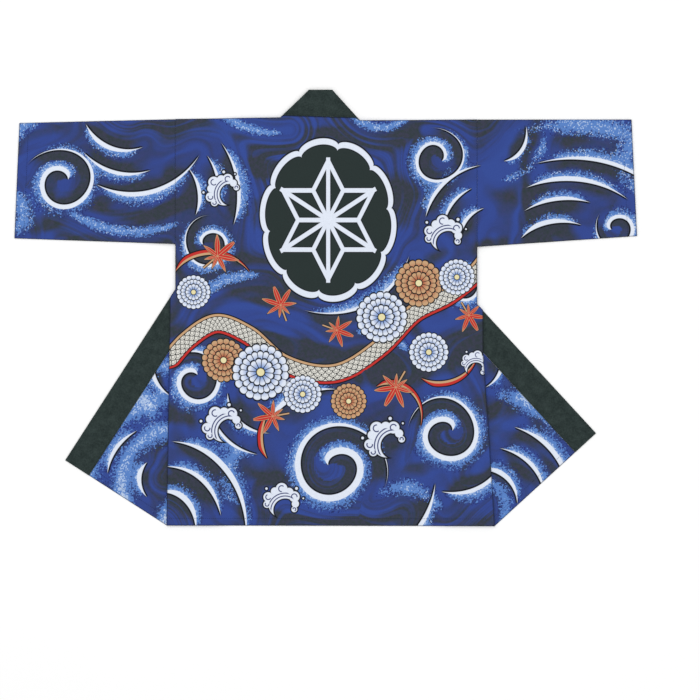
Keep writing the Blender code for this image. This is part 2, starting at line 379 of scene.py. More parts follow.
@dataclass(frozen=True, kw_only=True)
class BrushLine:
    """A tapered white brush line, dark on one side and dotted on the other.

    Its widths are in millimetres and its path is in metres. Where its dots spread to both sides, it has no line of
    its own, and force says how light its middle is.
    """

    width: float
    glow: float = 0.0  # how far its dots spread
    shade: float = 0.0  # how far its dark side reaches
    side: Glow = Glow.OUTSIDE
    head: float = 0.1  # share of its length over which it widens
    tail: float = 0.5  # share of its length over which it narrows
    force: float = 0.8
    step: float = 2.2  # between two points of its path
    batch: int = 20000  # how many points are measured at once
    soft_taper: float = 0.8  # power that rounds the taper
    loose: float = 4.0  # how far past its width the line keeps it
    thinning: float = 3.0  # how quickly it then gets thinner
    cap: float = 2.5  # how quickly it gets thinner past its ends
    reach: float = 30.0  # how far past its ends its dots go
    dark_reach: float = 10.0  # how far past its ends its dark side goes
    fade_in: float = 42.0  # length over which its dark side starts
    fade_out: float = 64.0  # length over which its dark side stops
    outer_band: tuple[float, float, float] = (30.0, 28.0, 0.95)  # past its dots: place, spread, darkness
    inner_band: tuple[float, float, float] = (42.0, 24.0, 0.85)  # past its dark side, likewise

    def path(self) -> Array:
        """The line's points, a step apart, in metres."""
        raise NotImplementedError

    def turning(self) -> float:
        """1 where the line's outer side is on its right, and -1 where it is on its left."""
        return 1.0

    def measure(self, points: Array) -> tuple[Array, Array, Array]:
        """Where points are beside the line.

        Args:
            points: Rows of x and y.

        Returns:
            The distance to the dotted side and past the line's ends, in millimetres, and the share along it.
        """
        line = self.path()
        tangent = np.gradient(line, axis=0)
        spacing = np.linalg.norm(tangent, axis=1)
        tangent = tangent / spacing[:, None]
        nearest = np.empty(len(points), dtype=np.int64)
        short = line.astype(np.float32)
        for first in range(0, len(points), self.batch):
            some = slice(first, first + self.batch)
            products = points[some].astype(np.float32) @ short.T
            nearest[some] = ((short**2).sum(axis=1)[None] - 2 * products).argmin(axis=1)
        away = points - line[nearest]
        along = (away * tangent[nearest]).sum(axis=1)
        left = tangent[nearest, 0] * away[:, 1] - tangent[nearest, 1] * away[:, 0]
        place = nearest + along / spacing[nearest]
        last = len(line) - 1
        beyond = np.maximum(0, np.maximum(-place, place - last)) * spacing[nearest] * MILLI
        sign = -1 if self.side is Glow.INSIDE else 1
        return -left * MILLI * self.turning() * sign, beyond, np.clip(place / last, 0, 1)

    def spray(self, side: Array, body: Array, taper: Array) -> Array:
        """How dense the dots beside the line are.

        Args:
            side: The distance across the line.
            body: The line's width there.
            taper: The share of its full width that it has there.

        Returns:
            A share for each point.
        """
        if not self.glow:
            return np.zeros(len(side))
        spread = self.glow * (0.35 + 0.65 * taper)
        if self.side is Glow.BOTH:
            return smooth(1.1 - np.abs(side) / spread) * self.force
        return np.where(side > body * 0.6, np.clip(1.1 - (side - body * 0.8) / spread, 0, 1), 0)

    def darken(self, side: Array) -> Array:
        """How dark the line's dark side is, without its ends.

        Args:
            side: The distance across the line.

        Returns:
            A share for each point.
        """
        if self.side is Glow.BOTH and self.shade:
            return smooth(1.15 - np.abs(side) / self.shade)
        return np.where(side < 0, np.clip(1.08 + side / max(self.shade, 1), 0, 1), 0)

    def draw(self, points: Array) -> Stroke:
        """What the line draws at points.

        Args:
            points: Rows of x and y.

        Returns:
            The stroke.
        """
        side, beyond, share = self.measure(points)
        taper = smooth(share / self.head) * smooth((1 - share) / self.tail)
        body = self.width * taper**self.soft_taper
        away = np.hypot(side, beyond)
        width = body - self.thinning * np.maximum(0, away - body - self.loose) - self.cap * beyond
        reach = smooth(1 - beyond / self.reach)
        dots = self.spray(side, body, taper) * reach * np.clip(taper * 3, 0, 1)
        along = share * len(self.path()) * self.step
        left = along * (1 / np.maximum(share, 0.001) - 1)
        ends = smooth(np.minimum(along / self.fade_in, left / self.fade_out))
        shade = self.darken(side) * ends * smooth(1 - beyond / self.dark_reach)
        for distance, (place, spread, darkness) in (
            (side - body - self.glow, self.outer_band),
            (-side - self.shade, self.inner_band),
        ):
            shade = np.maximum(shade, smooth(1.2 - np.abs(distance - place) / spread) * darkness * reach)
        return Stroke(side, width, away, dots, shade, along)


@dataclass(frozen=True)
class Swirl(BrushLine):
    """A brush line round a middle, from one radius to another, in metres and degrees."""

    x: float
    y: float
    inner: float
    outer: float
    start: float
    sweep: float
    ratio: float = 1.0  # height over width
    tilt: float = 0.0
    waver: float = 0.03  # share of the radius by which it wavers
    waves: float = 2.6  # how often it does so in a radian

    def path(self) -> Array:
        """The line's points, a step apart.

        Returns:
            Rows of x and y, in metres.
        """
        length = abs(math.radians(self.sweep)) * max(self.inner, self.outer)
        share = np.linspace(0, 1, max(8, int(length / (self.step / MILLI))))
        turn = np.radians(self.start + self.sweep * share)
        radius = self.inner + (self.outer - self.inner) * share
        radius = radius * (1 + self.waver * np.sin(self.waves * turn + 60 * (self.x + self.y)))
        tilt = math.radians(self.tilt)
        x, y = radius * np.cos(turn), radius * np.sin(turn) * self.ratio
        x, y = x * math.cos(tilt) - y * math.sin(tilt), x * math.sin(tilt) + y * math.cos(tilt)
        return np.stack([self.x + x, self.y + y], axis=1)

    def turning(self) -> float:
        """1 where it turns to the left, and -1 where it turns to the right."""
        return math.copysign(1.0, self.sweep)


@dataclass(frozen=True, kw_only=True)
class SoftBand(Swirl):
    """A soft band of dots or shade along an arc, without a line."""

    width: float = 0.0
    side: Glow = Glow.BOTH
    head: float = 0.35
    tail: float = 0.35


@dataclass(frozen=True)
class Sash(BrushLine):
    """A band through given points, with its pattern along it."""

    corners: tuple[Place, ...]

    def path(self) -> Array:
        """The band's edge as a smooth line through its points, a step apart.

        Returns:
            Rows of x and y, in metres.
        """
        corners = np.array([self.corners[0], *self.corners, self.corners[-1]])
        lines = []
        for before, start, end, after in zip(corners, corners[1:], corners[2:], corners[3:]):
            count = int(np.linalg.norm(end - start) / (self.step / MILLI))
            share = np.linspace(0, 1, count, endpoint=False)[:, None]
            bend = 2 * start + (end - before) * share
            bend += (2 * before - 5 * start + 4 * end - after) * share**2
            lines.append((bend + (3 * start - before - 3 * end + after) * share**3) / 2)
        return np.concatenate([*lines, corners[-1:]])


class MotifKind(Enum):
    """What a round motif shows."""

    WHITE_BLOOM = 1
    WARM_BLOOM = 2
    LEAF = 3
    FOAM = 4


@dataclass(frozen=True)
class Motif:
    """A round motif of the print, in metres and degrees."""

    kind: MotifKind
    x: float
    y: float
    size: float
    turn: float


@dataclass(frozen=True)
class PrintDesign:
    """The drawing of one cut of cloth: swirls in three layers of line, ribbons, and round motifs in two layers."""

    swirls: Sequence[BrushLine]
    ribbons: Sequence[BrushLine] = ()
    lower: Sequence[Motif] = ()
    upper: Sequence[Motif] = ()
    layers: int = 3
    clear: float = 0.034  # how far apart two swirls of one layer are, in metres
    low: float = -12.0  # least distance across a line that is kept, in millimetres
    high: float = 16.0  # greatest one
    wide: float = 30.0  # how much greater it is on the ribbons
    near: float = 11.0  # how quickly one swirl's dots and shade give way to another's
    far: float = 26.0  # how quickly one swirl's streaks give way to another's
    open_near: float = 33.0  # how far from the swirls the ground's own bands show
    open_far: float = 60.0  # how far from them its own streaks do
    flow: float = 200.0  # greatest distance across the streaks that is kept
    band: float = 0.105  # from one dark band of the ground to the next, in metres
    bends: tuple = ((0.035, 9.5, 0.0, 1.1), (0.025, -6.0, 17.0, 0.4))  # of the bands: size, x, y, shift

    def sort(self) -> list[int]:
        """Sorts the swirls so that those in one layer stay well apart.

        Returns:
            The layer of each swirl.
        """
        chosen: list[int] = []
        paths = [swirl.path()[::4] for swirl in self.swirls]
        for index, path in enumerate(paths):
            room = []
            for layer in range(self.layers):
                gaps = [
                    np.sqrt(((path[:, None] - paths[other][None]) ** 2).sum(axis=-1).min())
                    for other in range(index)
                    if chosen[other] == layer
                ]
                room.append(min(gaps, default=math.inf))
            free = [layer for layer in range(self.layers) if room[layer] >= self.clear]
            chosen.append(free[0] if free else int(np.argmax(room)))
        return chosen

    def lines(self, points: Array) -> tuple[Array, Array]:
        """The drawing's lines and its tone.

        Args:
            points: Rows of x and y.

        Returns:
            Distance and width for each layer of line, and a row of dots, shade, flow and way along for each point.
        """
        lines = np.tile([-self.low, self.low], (len(points), self.layers + 1))
        best = np.full((len(points), self.layers + 1), np.inf)
        weight = np.full(len(points), math.exp(-self.open_near / self.near))
        far_weight = np.full(len(points), math.exp(-self.open_far / self.far))
        band, flow = self.marble(points)
        tone = np.zeros((len(points), 4))
        tone[:, 1], tone[:, 2] = weight * band, far_weight * flow
        for swirl, layer in [*zip(self.swirls, self.sort()), *((ribbon, self.layers) for ribbon in self.ribbons)]:
            stroke = swirl.draw(points)
            high = self.high + self.wide * (layer == self.layers)
            nearer = stroke.away < best[:, layer]
            best[nearer, layer] = stroke.away[nearer]
            lines[nearer, 2 * layer] = np.clip(stroke.side[nearer], self.low, high)
            lines[nearer, 2 * layer + 1] = np.clip(stroke.width[nearer], self.low, high)
            if layer == self.layers:
                tone[nearer, 3] = stroke.along[nearer]
                continue
            share, far_share = np.exp(-stroke.away / self.near), np.exp(-stroke.away / self.far)
            weight += share
            far_weight += far_share
            tone[:, :3] += np.stack([share * stroke.dots, share * stroke.shade, far_share * stroke.side], axis=1)
        tone[:, :2] /= weight[:, None]
        tone[:, 2] = np.clip(tone[:, 2] / far_weight, -self.flow, self.flow)
        return lines, tone

    def marble(self, points: Array) -> tuple[Array, Array]:
        """The dark bands of the ground where no swirl is near.

        Args:
            points: Rows of x and y.

        Returns:
            The bands' darkness, and a distance across them in millimetres.
        """
        x, y = points[:, 0], points[:, 1]
        across = y
        for size, along_x, along_y, shift in self.bends:
            across = across + size * np.sin(along_x * x + along_y * y + shift)
        phase = across / self.band + 0.3 * np.sin(6.1 * x - 3.3 * y)
        return smooth(0.5 + 0.6 * np.sin(2 * math.pi * phase)) * 0.85, phase * (self.band * MILLI)

    @staticmethod
    def place(points: Array, motifs: Sequence[Motif]) -> Array:
        """Where points are in the nearest motif.

        Args:
            points: Rows of x and y.
            motifs: Motifs that don't overlap.

        Returns:
            A row of across, up, share from the edge in, and kind for each point.
        """
        rows = np.tile([2.0, 2.0, -1.0, 0.0], (len(points), 1))
        for motif in motifs:
            turn = math.radians(motif.turn)
            x, y = (points[:, 0] - motif.x) / motif.size, (points[:, 1] - motif.y) / motif.size
            inside = 1 - np.hypot(x, y)
            across = x * math.cos(turn) + y * math.sin(turn)
            up = y * math.cos(turn) - x * math.sin(turn)
            nearer = inside > np.maximum(rows[:, 2], -0.5)
            own = np.stack([across, up, inside, np.full(len(points), float(motif.kind.value))], axis=1)
            rows[nearer] = own[nearer]
        return rows


def fan(
    x: float, y: float, first: float, step: float, starts: Sequence[float], sweep: float,
    width: float = 6.5, shade: float = 40.0, side: Glow = Glow.OUTSIDE,
) -> tuple[Swirl, ...]:
    """Crescents round one middle, with every second one longer in its head and narrower.

    Args:
        x: Of the middle, in metres.
        y: Of the middle.
        first: The radius of the innermost one.
        step: How much further out each next one is.
        starts: The angle at which each one starts, in degrees.
        sweep: The angle that each one turns through.
        width: How wide each one is, in millimetres.
        shade: How far its dark side reaches.
        side: The dotted side.

    Returns:
        The crescents.
    """
    crescents = []
    for index, start in enumerate(starts):
        radius, odd, share = first + step * index, index % 2, (1.08, 0.82, 1.0)[index % 3]
        crescents.append(
            Swirl(
                x, y, radius, radius * (1.03 + 0.03 * odd), start, sweep * share, width=width * (1.1 - 0.2 * odd),
                glow=29, shade=shade, side=side, head=0.35 + 0.15 * odd, tail=0.55 - 0.1 * odd,
            )
        )
    return tuple(crescents)


def motifs(kind: MotifKind, *places: tuple[float, float, float, float]) -> list[Motif]:
    """Motifs of one kind, each at an x and a y, of a size and turned by degrees."""
    return [Motif(kind, *place) for place in places]


BODY_PRINT = PrintDesign(
    swirls=(
        # lower body
        Swirl(0.020, -0.318, 0.015, 0.108, 150, -560, width=13.0, glow=32, shade=58, ratio=0.92, tilt=15),
        *fan(0.020, -0.318, 0.156, 0.042, (150, -8), -58, 9.0),
        Swirl(0.240, -0.250, 0.014, 0.080, 20, 520, width=10.0, glow=30, shade=52),
        *fan(0.240, -0.250, 0.120, 0.040, (264,), 80, 7.0),
        Swirl(-0.262, -0.145, 0.013, 0.066, 60, 480, width=8.5, glow=28, shade=48),
        *fan(-0.330, -0.440, 0.070, 0.050, (95, 88, 84), -95, 10.0),
        *fan(-0.100, -0.150, 0.098, 0.040, (190, 200), 70, 6.5),
        # upper left of the body
        *fan(-0.345, 0.215, 0.092, 0.040, (-20, -8, -18), 60, 6.5),
        Swirl(-0.232, 0.128, 0.012, 0.058, 190, -470, width=6.0, glow=22, shade=40),
        # right of the medallion
        Swirl(0.220, 0.300, 0.013, 0.064, 330, 500, width=6.0, glow=22, shade=44),
        *fan(0.345, 0.120, 0.080, 0.040, (170, 160, 158), -58, 6.5),
        Swirl(0.272, 0.045, 0.012, 0.046, 100, 430, width=5.5, glow=20, shade=36),
        # left sleeve
        Swirl(-0.528, 0.252, 0.014, 0.078, 20, 500, width=9.0, glow=30, shade=42, ratio=0.95),
        *fan(-0.400, 0.420, 0.098, 0.042, (212, 230, 250), 74, 8.0, 30),
        # right sleeve
        *fan(0.470, 0.060, 0.112, 0.043, (136, 120, 112, 104), -64, 8.5, 88),
        Swirl(0.582, 0.160, 0.011, 0.046, 200, -430, width=7.0, glow=26, shade=56),
        *fan(0.330, 0.360, 0.070, 0.036, (-70,), 70, 6.5, 60),
        # round the medallion
        *fan(0.000, 0.170, 0.178, 0.040, (-20,), -80, 6.0, side=Glow.INSIDE),
        # drifts of dots
        SoftBand(-0.528, 0.252, 0.135, 0.1404, 95, 140, glow=44),
        SoftBand(0.662, 0.290, 0.062, 0.06448, 120, 130, glow=44),
        SoftBand(-0.655, 0.190, 0.050, 0.052, -60, 120, glow=34),
        SoftBand(-0.400, 0.420, 0.255, 0.2652, 238, 60, glow=16),
        SoftBand(0.470, 0.060, 0.312, 0.32448, 110, -70, glow=34),
        SoftBand(0.330, 0.360, 0.105, 0.1092, -82, 80, glow=16),
        SoftBand(-0.090, 0.560, 0.200, 0.208, 215, 60, glow=14),
        SoftBand(0.110, 0.450, 0.085, 0.0884, 200, 130, glow=14),
        SoftBand(-0.140, -0.060, 0.130, 0.1352, 80, 80, glow=18),
        SoftBand(0.090, -0.160, 0.110, 0.1144, 40, 70, glow=18),
        SoftBand(-0.120, -0.330, 0.075, 0.078, 120, 120, glow=26),
        SoftBand(0.160, -0.440, 0.080, 0.0832, 20, 120, glow=26),
        # soft dark bands
        SoftBand(0.670, 0.270, 0.260, 0.2756, 148, 78, shade=26),
    ),
    ribbons=(
        Sash(
            width=38.0, head=0.06, tail=0.06,
            corners=(
                (-0.350, -0.125), (-0.290, -0.052), (-0.220, -0.012), (-0.145, -0.038), (-0.075, -0.095),
                (0.015, -0.112), (0.095, -0.066), (0.165, 0.004), (0.240, 0.044), (0.300, 0.098), (0.325, 0.160),
            ),
        ),
        Swirl(-0.215, 0.020, 0.098, 0.080, 150, -115, width=10.0, head=0.2, tail=0.6),
        Swirl(-0.020, -0.235, 0.115, 0.100, 215, -58, width=10.0, head=0.25, tail=0.6),
        Swirl(0.215, -0.070, 0.075, 0.090, -110, 100, width=10.0, head=0.25, tail=0.6),
        Swirl(0.110, -0.215, 0.060, 0.085, 100, -120, width=9.0, head=0.2, tail=0.6),
    ),
    lower=(
        *motifs(MotifKind.WARM_BLOOM, (-0.204, -0.104, 0.046, 10), (0.186, 0.050, 0.050, 0), (0.046, -0.186, 0.038, 0)),
        *motifs(MotifKind.WHITE_BLOOM, (0.206, -0.088, 0.042, 0), (-0.264, 0.032, 0.036, 0)),
        *motifs(
            MotifKind.LEAF, (-0.216, 0.104, 0.044, 40), (-0.090, 0.006, 0.040, 110), (0.022, -0.044, 0.036, -20),
            (0.140, -0.158, 0.044, -120), (0.286, -0.014, 0.036, -60), (-0.106, -0.216, 0.040, 190),
        ),
        *motifs(
            MotifKind.FOAM, (0.238, 0.148, 0.050, -10), (-0.205, 0.236, 0.046, 30), (-0.205, -0.232, 0.052, 15),
            (0.300, -0.112, 0.036, -30), (0.120, -0.262, 0.054, 20), (-0.086, -0.386, 0.048, -15),
        ),
    ),
    upper=(
        *motifs(
            MotifKind.WHITE_BLOOM, (-0.130, -0.128, 0.060, 10), (-0.046, -0.172, 0.040, 0), (0.112, -0.018, 0.054, 4),
            (0.262, 0.062, 0.038, 4),
        ),
    ),
)
LEFT_PRINT = PrintDesign(
    swirls=(
        *fan(-0.300, -0.340, 0.066, 0.060, (150, 128, 136), 60, 8.0, 26),
        *fan(-0.280, -0.120, 0.062, 0.050, (150,), 90, 7.0, 26),
        SoftBand(-0.300, -0.340, 0.104, 0.10816, 60, 170, glow=56, force=1.0),
        SoftBand(-0.300, -0.340, 0.163, 0.16952, 70, 140, glow=60, force=0.95),
        SoftBand(-0.300, -0.340, 0.226, 0.23504, 80, 110, glow=56, force=1.0),
        SoftBand(-0.280, -0.120, 0.105, 0.1092, 110, 140, glow=54, force=1.0),
        SoftBand(-0.270, -0.440, 0.050, 0.052, 50, 170, glow=46, force=1.0),
    ),
)
RIGHT_PRINT = PrintDesign(
    swirls=(
        *fan(0.300, -0.400, 0.080, 0.050, (85, 70, 66), -75, 8.5, 84),
        *fan(0.290, -0.100, 0.062, 0.044, (20,), -80, 6.5, 70),
        SoftBand(0.300, -0.400, 0.060, 0.0624, 80, -120, glow=24),
        SoftBand(0.300, -0.400, 0.236, 0.24544, 84, -60, glow=50, force=1.0),
        SoftBand(0.280, -0.160, 0.080, 0.0848, 60, -130, shade=28),
    ),
)


# --- Node trees ---


def put(value: object, socket: Socket) -> None:
    """Gives an input its value.

    Args:
        value: A Value or a socket, which is linked to it, or a plain value, which is set on it.
        socket: The input.
    """
    value = value.socket if isinstance(value, Value) else value
    if isinstance(value, Socket):
        socket.id_data.links.new(value, socket)
    else:
        socket.default_value = value


@dataclass(frozen=True)
class Value:
    """A number in a node tree. Arithmetic with it adds Math nodes."""

    socket: Socket

    def math(self, operation: str, *others: "Value | float", clamp: bool = False) -> "Value":
        """A Math node on this number.

        Args:
            operation: The node's operation.
            others: Its other numbers.
            clamp: Whether the result is kept from 0 to 1.

        Returns:
            The result.
        """
        node = self.socket.id_data.nodes.new("ShaderNodeMath")
        node.operation = operation
        node.use_clamp = clamp
        for socket, value in zip(node.inputs, (self, *others)):
            put(value, socket)
        return Value(node.outputs[0])

    def __add__(self, other: "Value | float") -> "Value":
        """The sum."""
        return self.math("ADD", other)

    def __sub__(self, other: "Value | float") -> "Value":
        """The difference."""
        return self.math("SUBTRACT", other)

    def __rsub__(self, other: float) -> "Value":
        """A plain number less this one."""
        return self.math("MULTIPLY_ADD", -1.0, other)

    def __mul__(self, other: "Value | float") -> "Value":
        """The product."""
        return self.math("MULTIPLY", other)

    __radd__ = __add__
    __rmul__ = __mul__

    def above(self, edge: "Value | float", soft: float) -> "Value":
        """1 over the edge and 0 under it, with a soft step that wide."""
        return (self - edge).math("MULTIPLY_ADD", 1 / soft, 0.5, clamp=True)

    def below(self, edge: "Value | float", soft: float) -> "Value":
        """1 under the edge and 0 over it, with a soft step that wide."""
        return (self - edge).math("MULTIPLY_ADD", -1 / soft, 0.5, clamp=True)

    def within(self, low: "Value | float", high: "Value | float", soft: float) -> "Value":
        """1 between two edges and 0 outside them, with soft steps."""
        return self.above(low, soft) * self.below(high, soft)

    def saw(self, count: float, shift: float = 0.0) -> "Value":
        """Repeats 0 to 0.5 and back that many times while this goes from 0 to 1."""
        return ((self * count + (shift + 0.5)).math("FRACT") - 0.5).math("ABSOLUTE")

    def arch(self) -> "Value":
        """A round arch: 1 where this is 0, down to 0 where this is 0.5."""
        return (1.0 - (self * 2.0) * (self * 2.0)).math("MAXIMUM", 0.0).math("SQRT")

    def length(self, up: "Value") -> "Value":
        """The length of a line that goes this far across and that far up."""
        return (self * self + up * up).math("SQRT")


class Graph:
    """Short words for filling a node tree."""

    def __init__(self, tree: bpy.types.NodeTree) -> None:
        """Starts on an empty tree."""
        self.tree = tree
        tree.nodes.clear()

    def node(self, kind: str, inputs: dict[str | int, object] | None = None, **settings: object) -> bpy.types.Node:
        """A new node.

        Args:
            kind: The node's type.
            inputs: A value, a Value or a socket for each input, by name or number.
            settings: The node's own properties.

        Returns:
            The node.
        """
        node = self.tree.nodes.new(kind)
        for name, setting in settings.items():
            setattr(node, name, setting)
        for name, value in (inputs or {}).items():
            put(value, node.inputs[name])
        return node

    def mix(self, share: object, low: object, high: object) -> Socket:
        """A colour between two others: the low one at a share of 0, and the high one at 1."""
        return self.node("ShaderNodeMix", {0: share, 6: low, 7: high}, data_type="RGBA").outputs[2]

    def paint(self, under: object, *coats: tuple[Value, Colour | Socket]) -> Socket:
        """Coats of colour over one another.

        Args:
            under: The colour below them.
            coats: A mask and a colour for each coat, from the lowest up.

        Returns:
            The colour that is seen.
        """
        for mask, colour in coats:
            under = self.mix(mask, under, colour)
        return under

    def use(self, group: bpy.types.NodeTree, given: dict) -> Socket:
        """Places a group in the tree, with a value for each named input, and gives its first output."""
        return self.node("ShaderNodeGroup", given, node_tree=group).outputs[0]

    def attribute(self, name: str) -> list[Value]:
        """The four numbers that a shell's points keep under a name.

        Args:
            name: What they are stored under.

        Returns:
            The numbers.
        """
        node = self.node("ShaderNodeAttribute", attribute_name=name)
        split = self.node("ShaderNodeSeparateColor", {"Color": node.outputs["Color"]})
        return [Value(socket) for socket in (*split.outputs, node.outputs["Alpha"])]

    def place(self) -> tuple[Socket, Value, Value]:
        """The point that is shaded.

        Returns:
            Its place in metres, and its x and y.
        """
        socket = self.node("ShaderNodeTexCoord").outputs["Object"]
        split = self.node("ShaderNodeSeparateXYZ", {"Vector": socket})
        return socket, Value(split.outputs[0]), Value(split.outputs[1])

    def noise(self, place: object, scale: float, detail: float = 3.0, roughness: float = 0.6) -> Value:
        """Soft noise from 0 to 1."""
        inputs = {"Vector": place, "Scale": scale, "Detail": detail, "Roughness": roughness}
        return Value(self.node("ShaderNodeTexNoise", inputs).outputs[0])

    def surface(self, inputs: dict[str, object]) -> None:
        """Ends a material in a Principled shader with these inputs."""
        shader = self.node("ShaderNodeBsdfPrincipled", inputs)
        self.node("ShaderNodeOutputMaterial", {"Surface": shader.outputs[0]})


def node_group(
    name: str, inputs: Sequence[str], outputs: Sequence[str], fill: Callable[[Graph, dict], dict]
) -> bpy.types.NodeTree:
    """A shader node group.

    Args:
        name: The group's name.
        inputs: Its inputs. Under and Color are colours, and the rest are numbers.
        outputs: Its outputs, likewise.
        fill: Makes the inside from the inputs' sockets, and gives a value for each output.

    Returns:
        The group.
    """
    group = bpy.data.node_groups.new(name, "ShaderNodeTree")
    for side, labels in (("INPUT", inputs), ("OUTPUT", outputs)):
        for label in labels:
            kind = "NodeSocketColor" if label in ("Under", "Color") else "NodeSocketFloat"
            group.interface.new_socket(label, in_out=side, socket_type=kind)
    graph = Graph(group)
    sockets = graph.node("NodeGroupInput").outputs
    given = {label: sockets[label] if label == "Under" else Value(sockets[label]) for label in inputs}
    graph.node("NodeGroupOutput", fill(graph, given))
    return group


@dataclass(frozen=True)
class PrintColours:
    """The colours of the printed cotton."""

    blue: Colour = shade_of(48, 62, 126)
    bright: Colour = shade_of(52, 74, 146)
    navy: Colour = shade_of(38, 48, 104)
    dark: Colour = shade_of(48, 58, 62)
    plum: Colour = shade_of(58, 60, 78)
    mid: Colour = shade_of(88, 128, 194)
    pale: Colour = shade_of(168, 190, 224)
    white: Colour = shade_of(220, 227, 240)
    # black of the print's lines, also painted along the cloth's edges as shade
    line: Colour = shade_of(18, 21, 28)
    red: Colour = shade_of(192, 50, 46)
    tan: Colour = shade_of(196, 158, 120)
    rust: Colour = shade_of(172, 84, 58)
    ivory: Colour = shade_of(222, 220, 212)
    cream: Colour = shade_of(228, 218, 170)
    ink: Colour = shade_of(40, 50, 49)
    ghost: Colour = shade_of(120, 138, 184)


@dataclass(frozen=True)
class Medallion:
    """The medallion on the back: its place in metres, and its leaf in millimetres."""

    x: float = 0.005
    y: float = 0.176
    half_width: float = 0.137
    half_height: float = 0.164
    lobes: int = 10
    points: int = 6
    reach: float = 104.0  # from its middle to a point
    squash: float = 0.88  # of the leaf's height


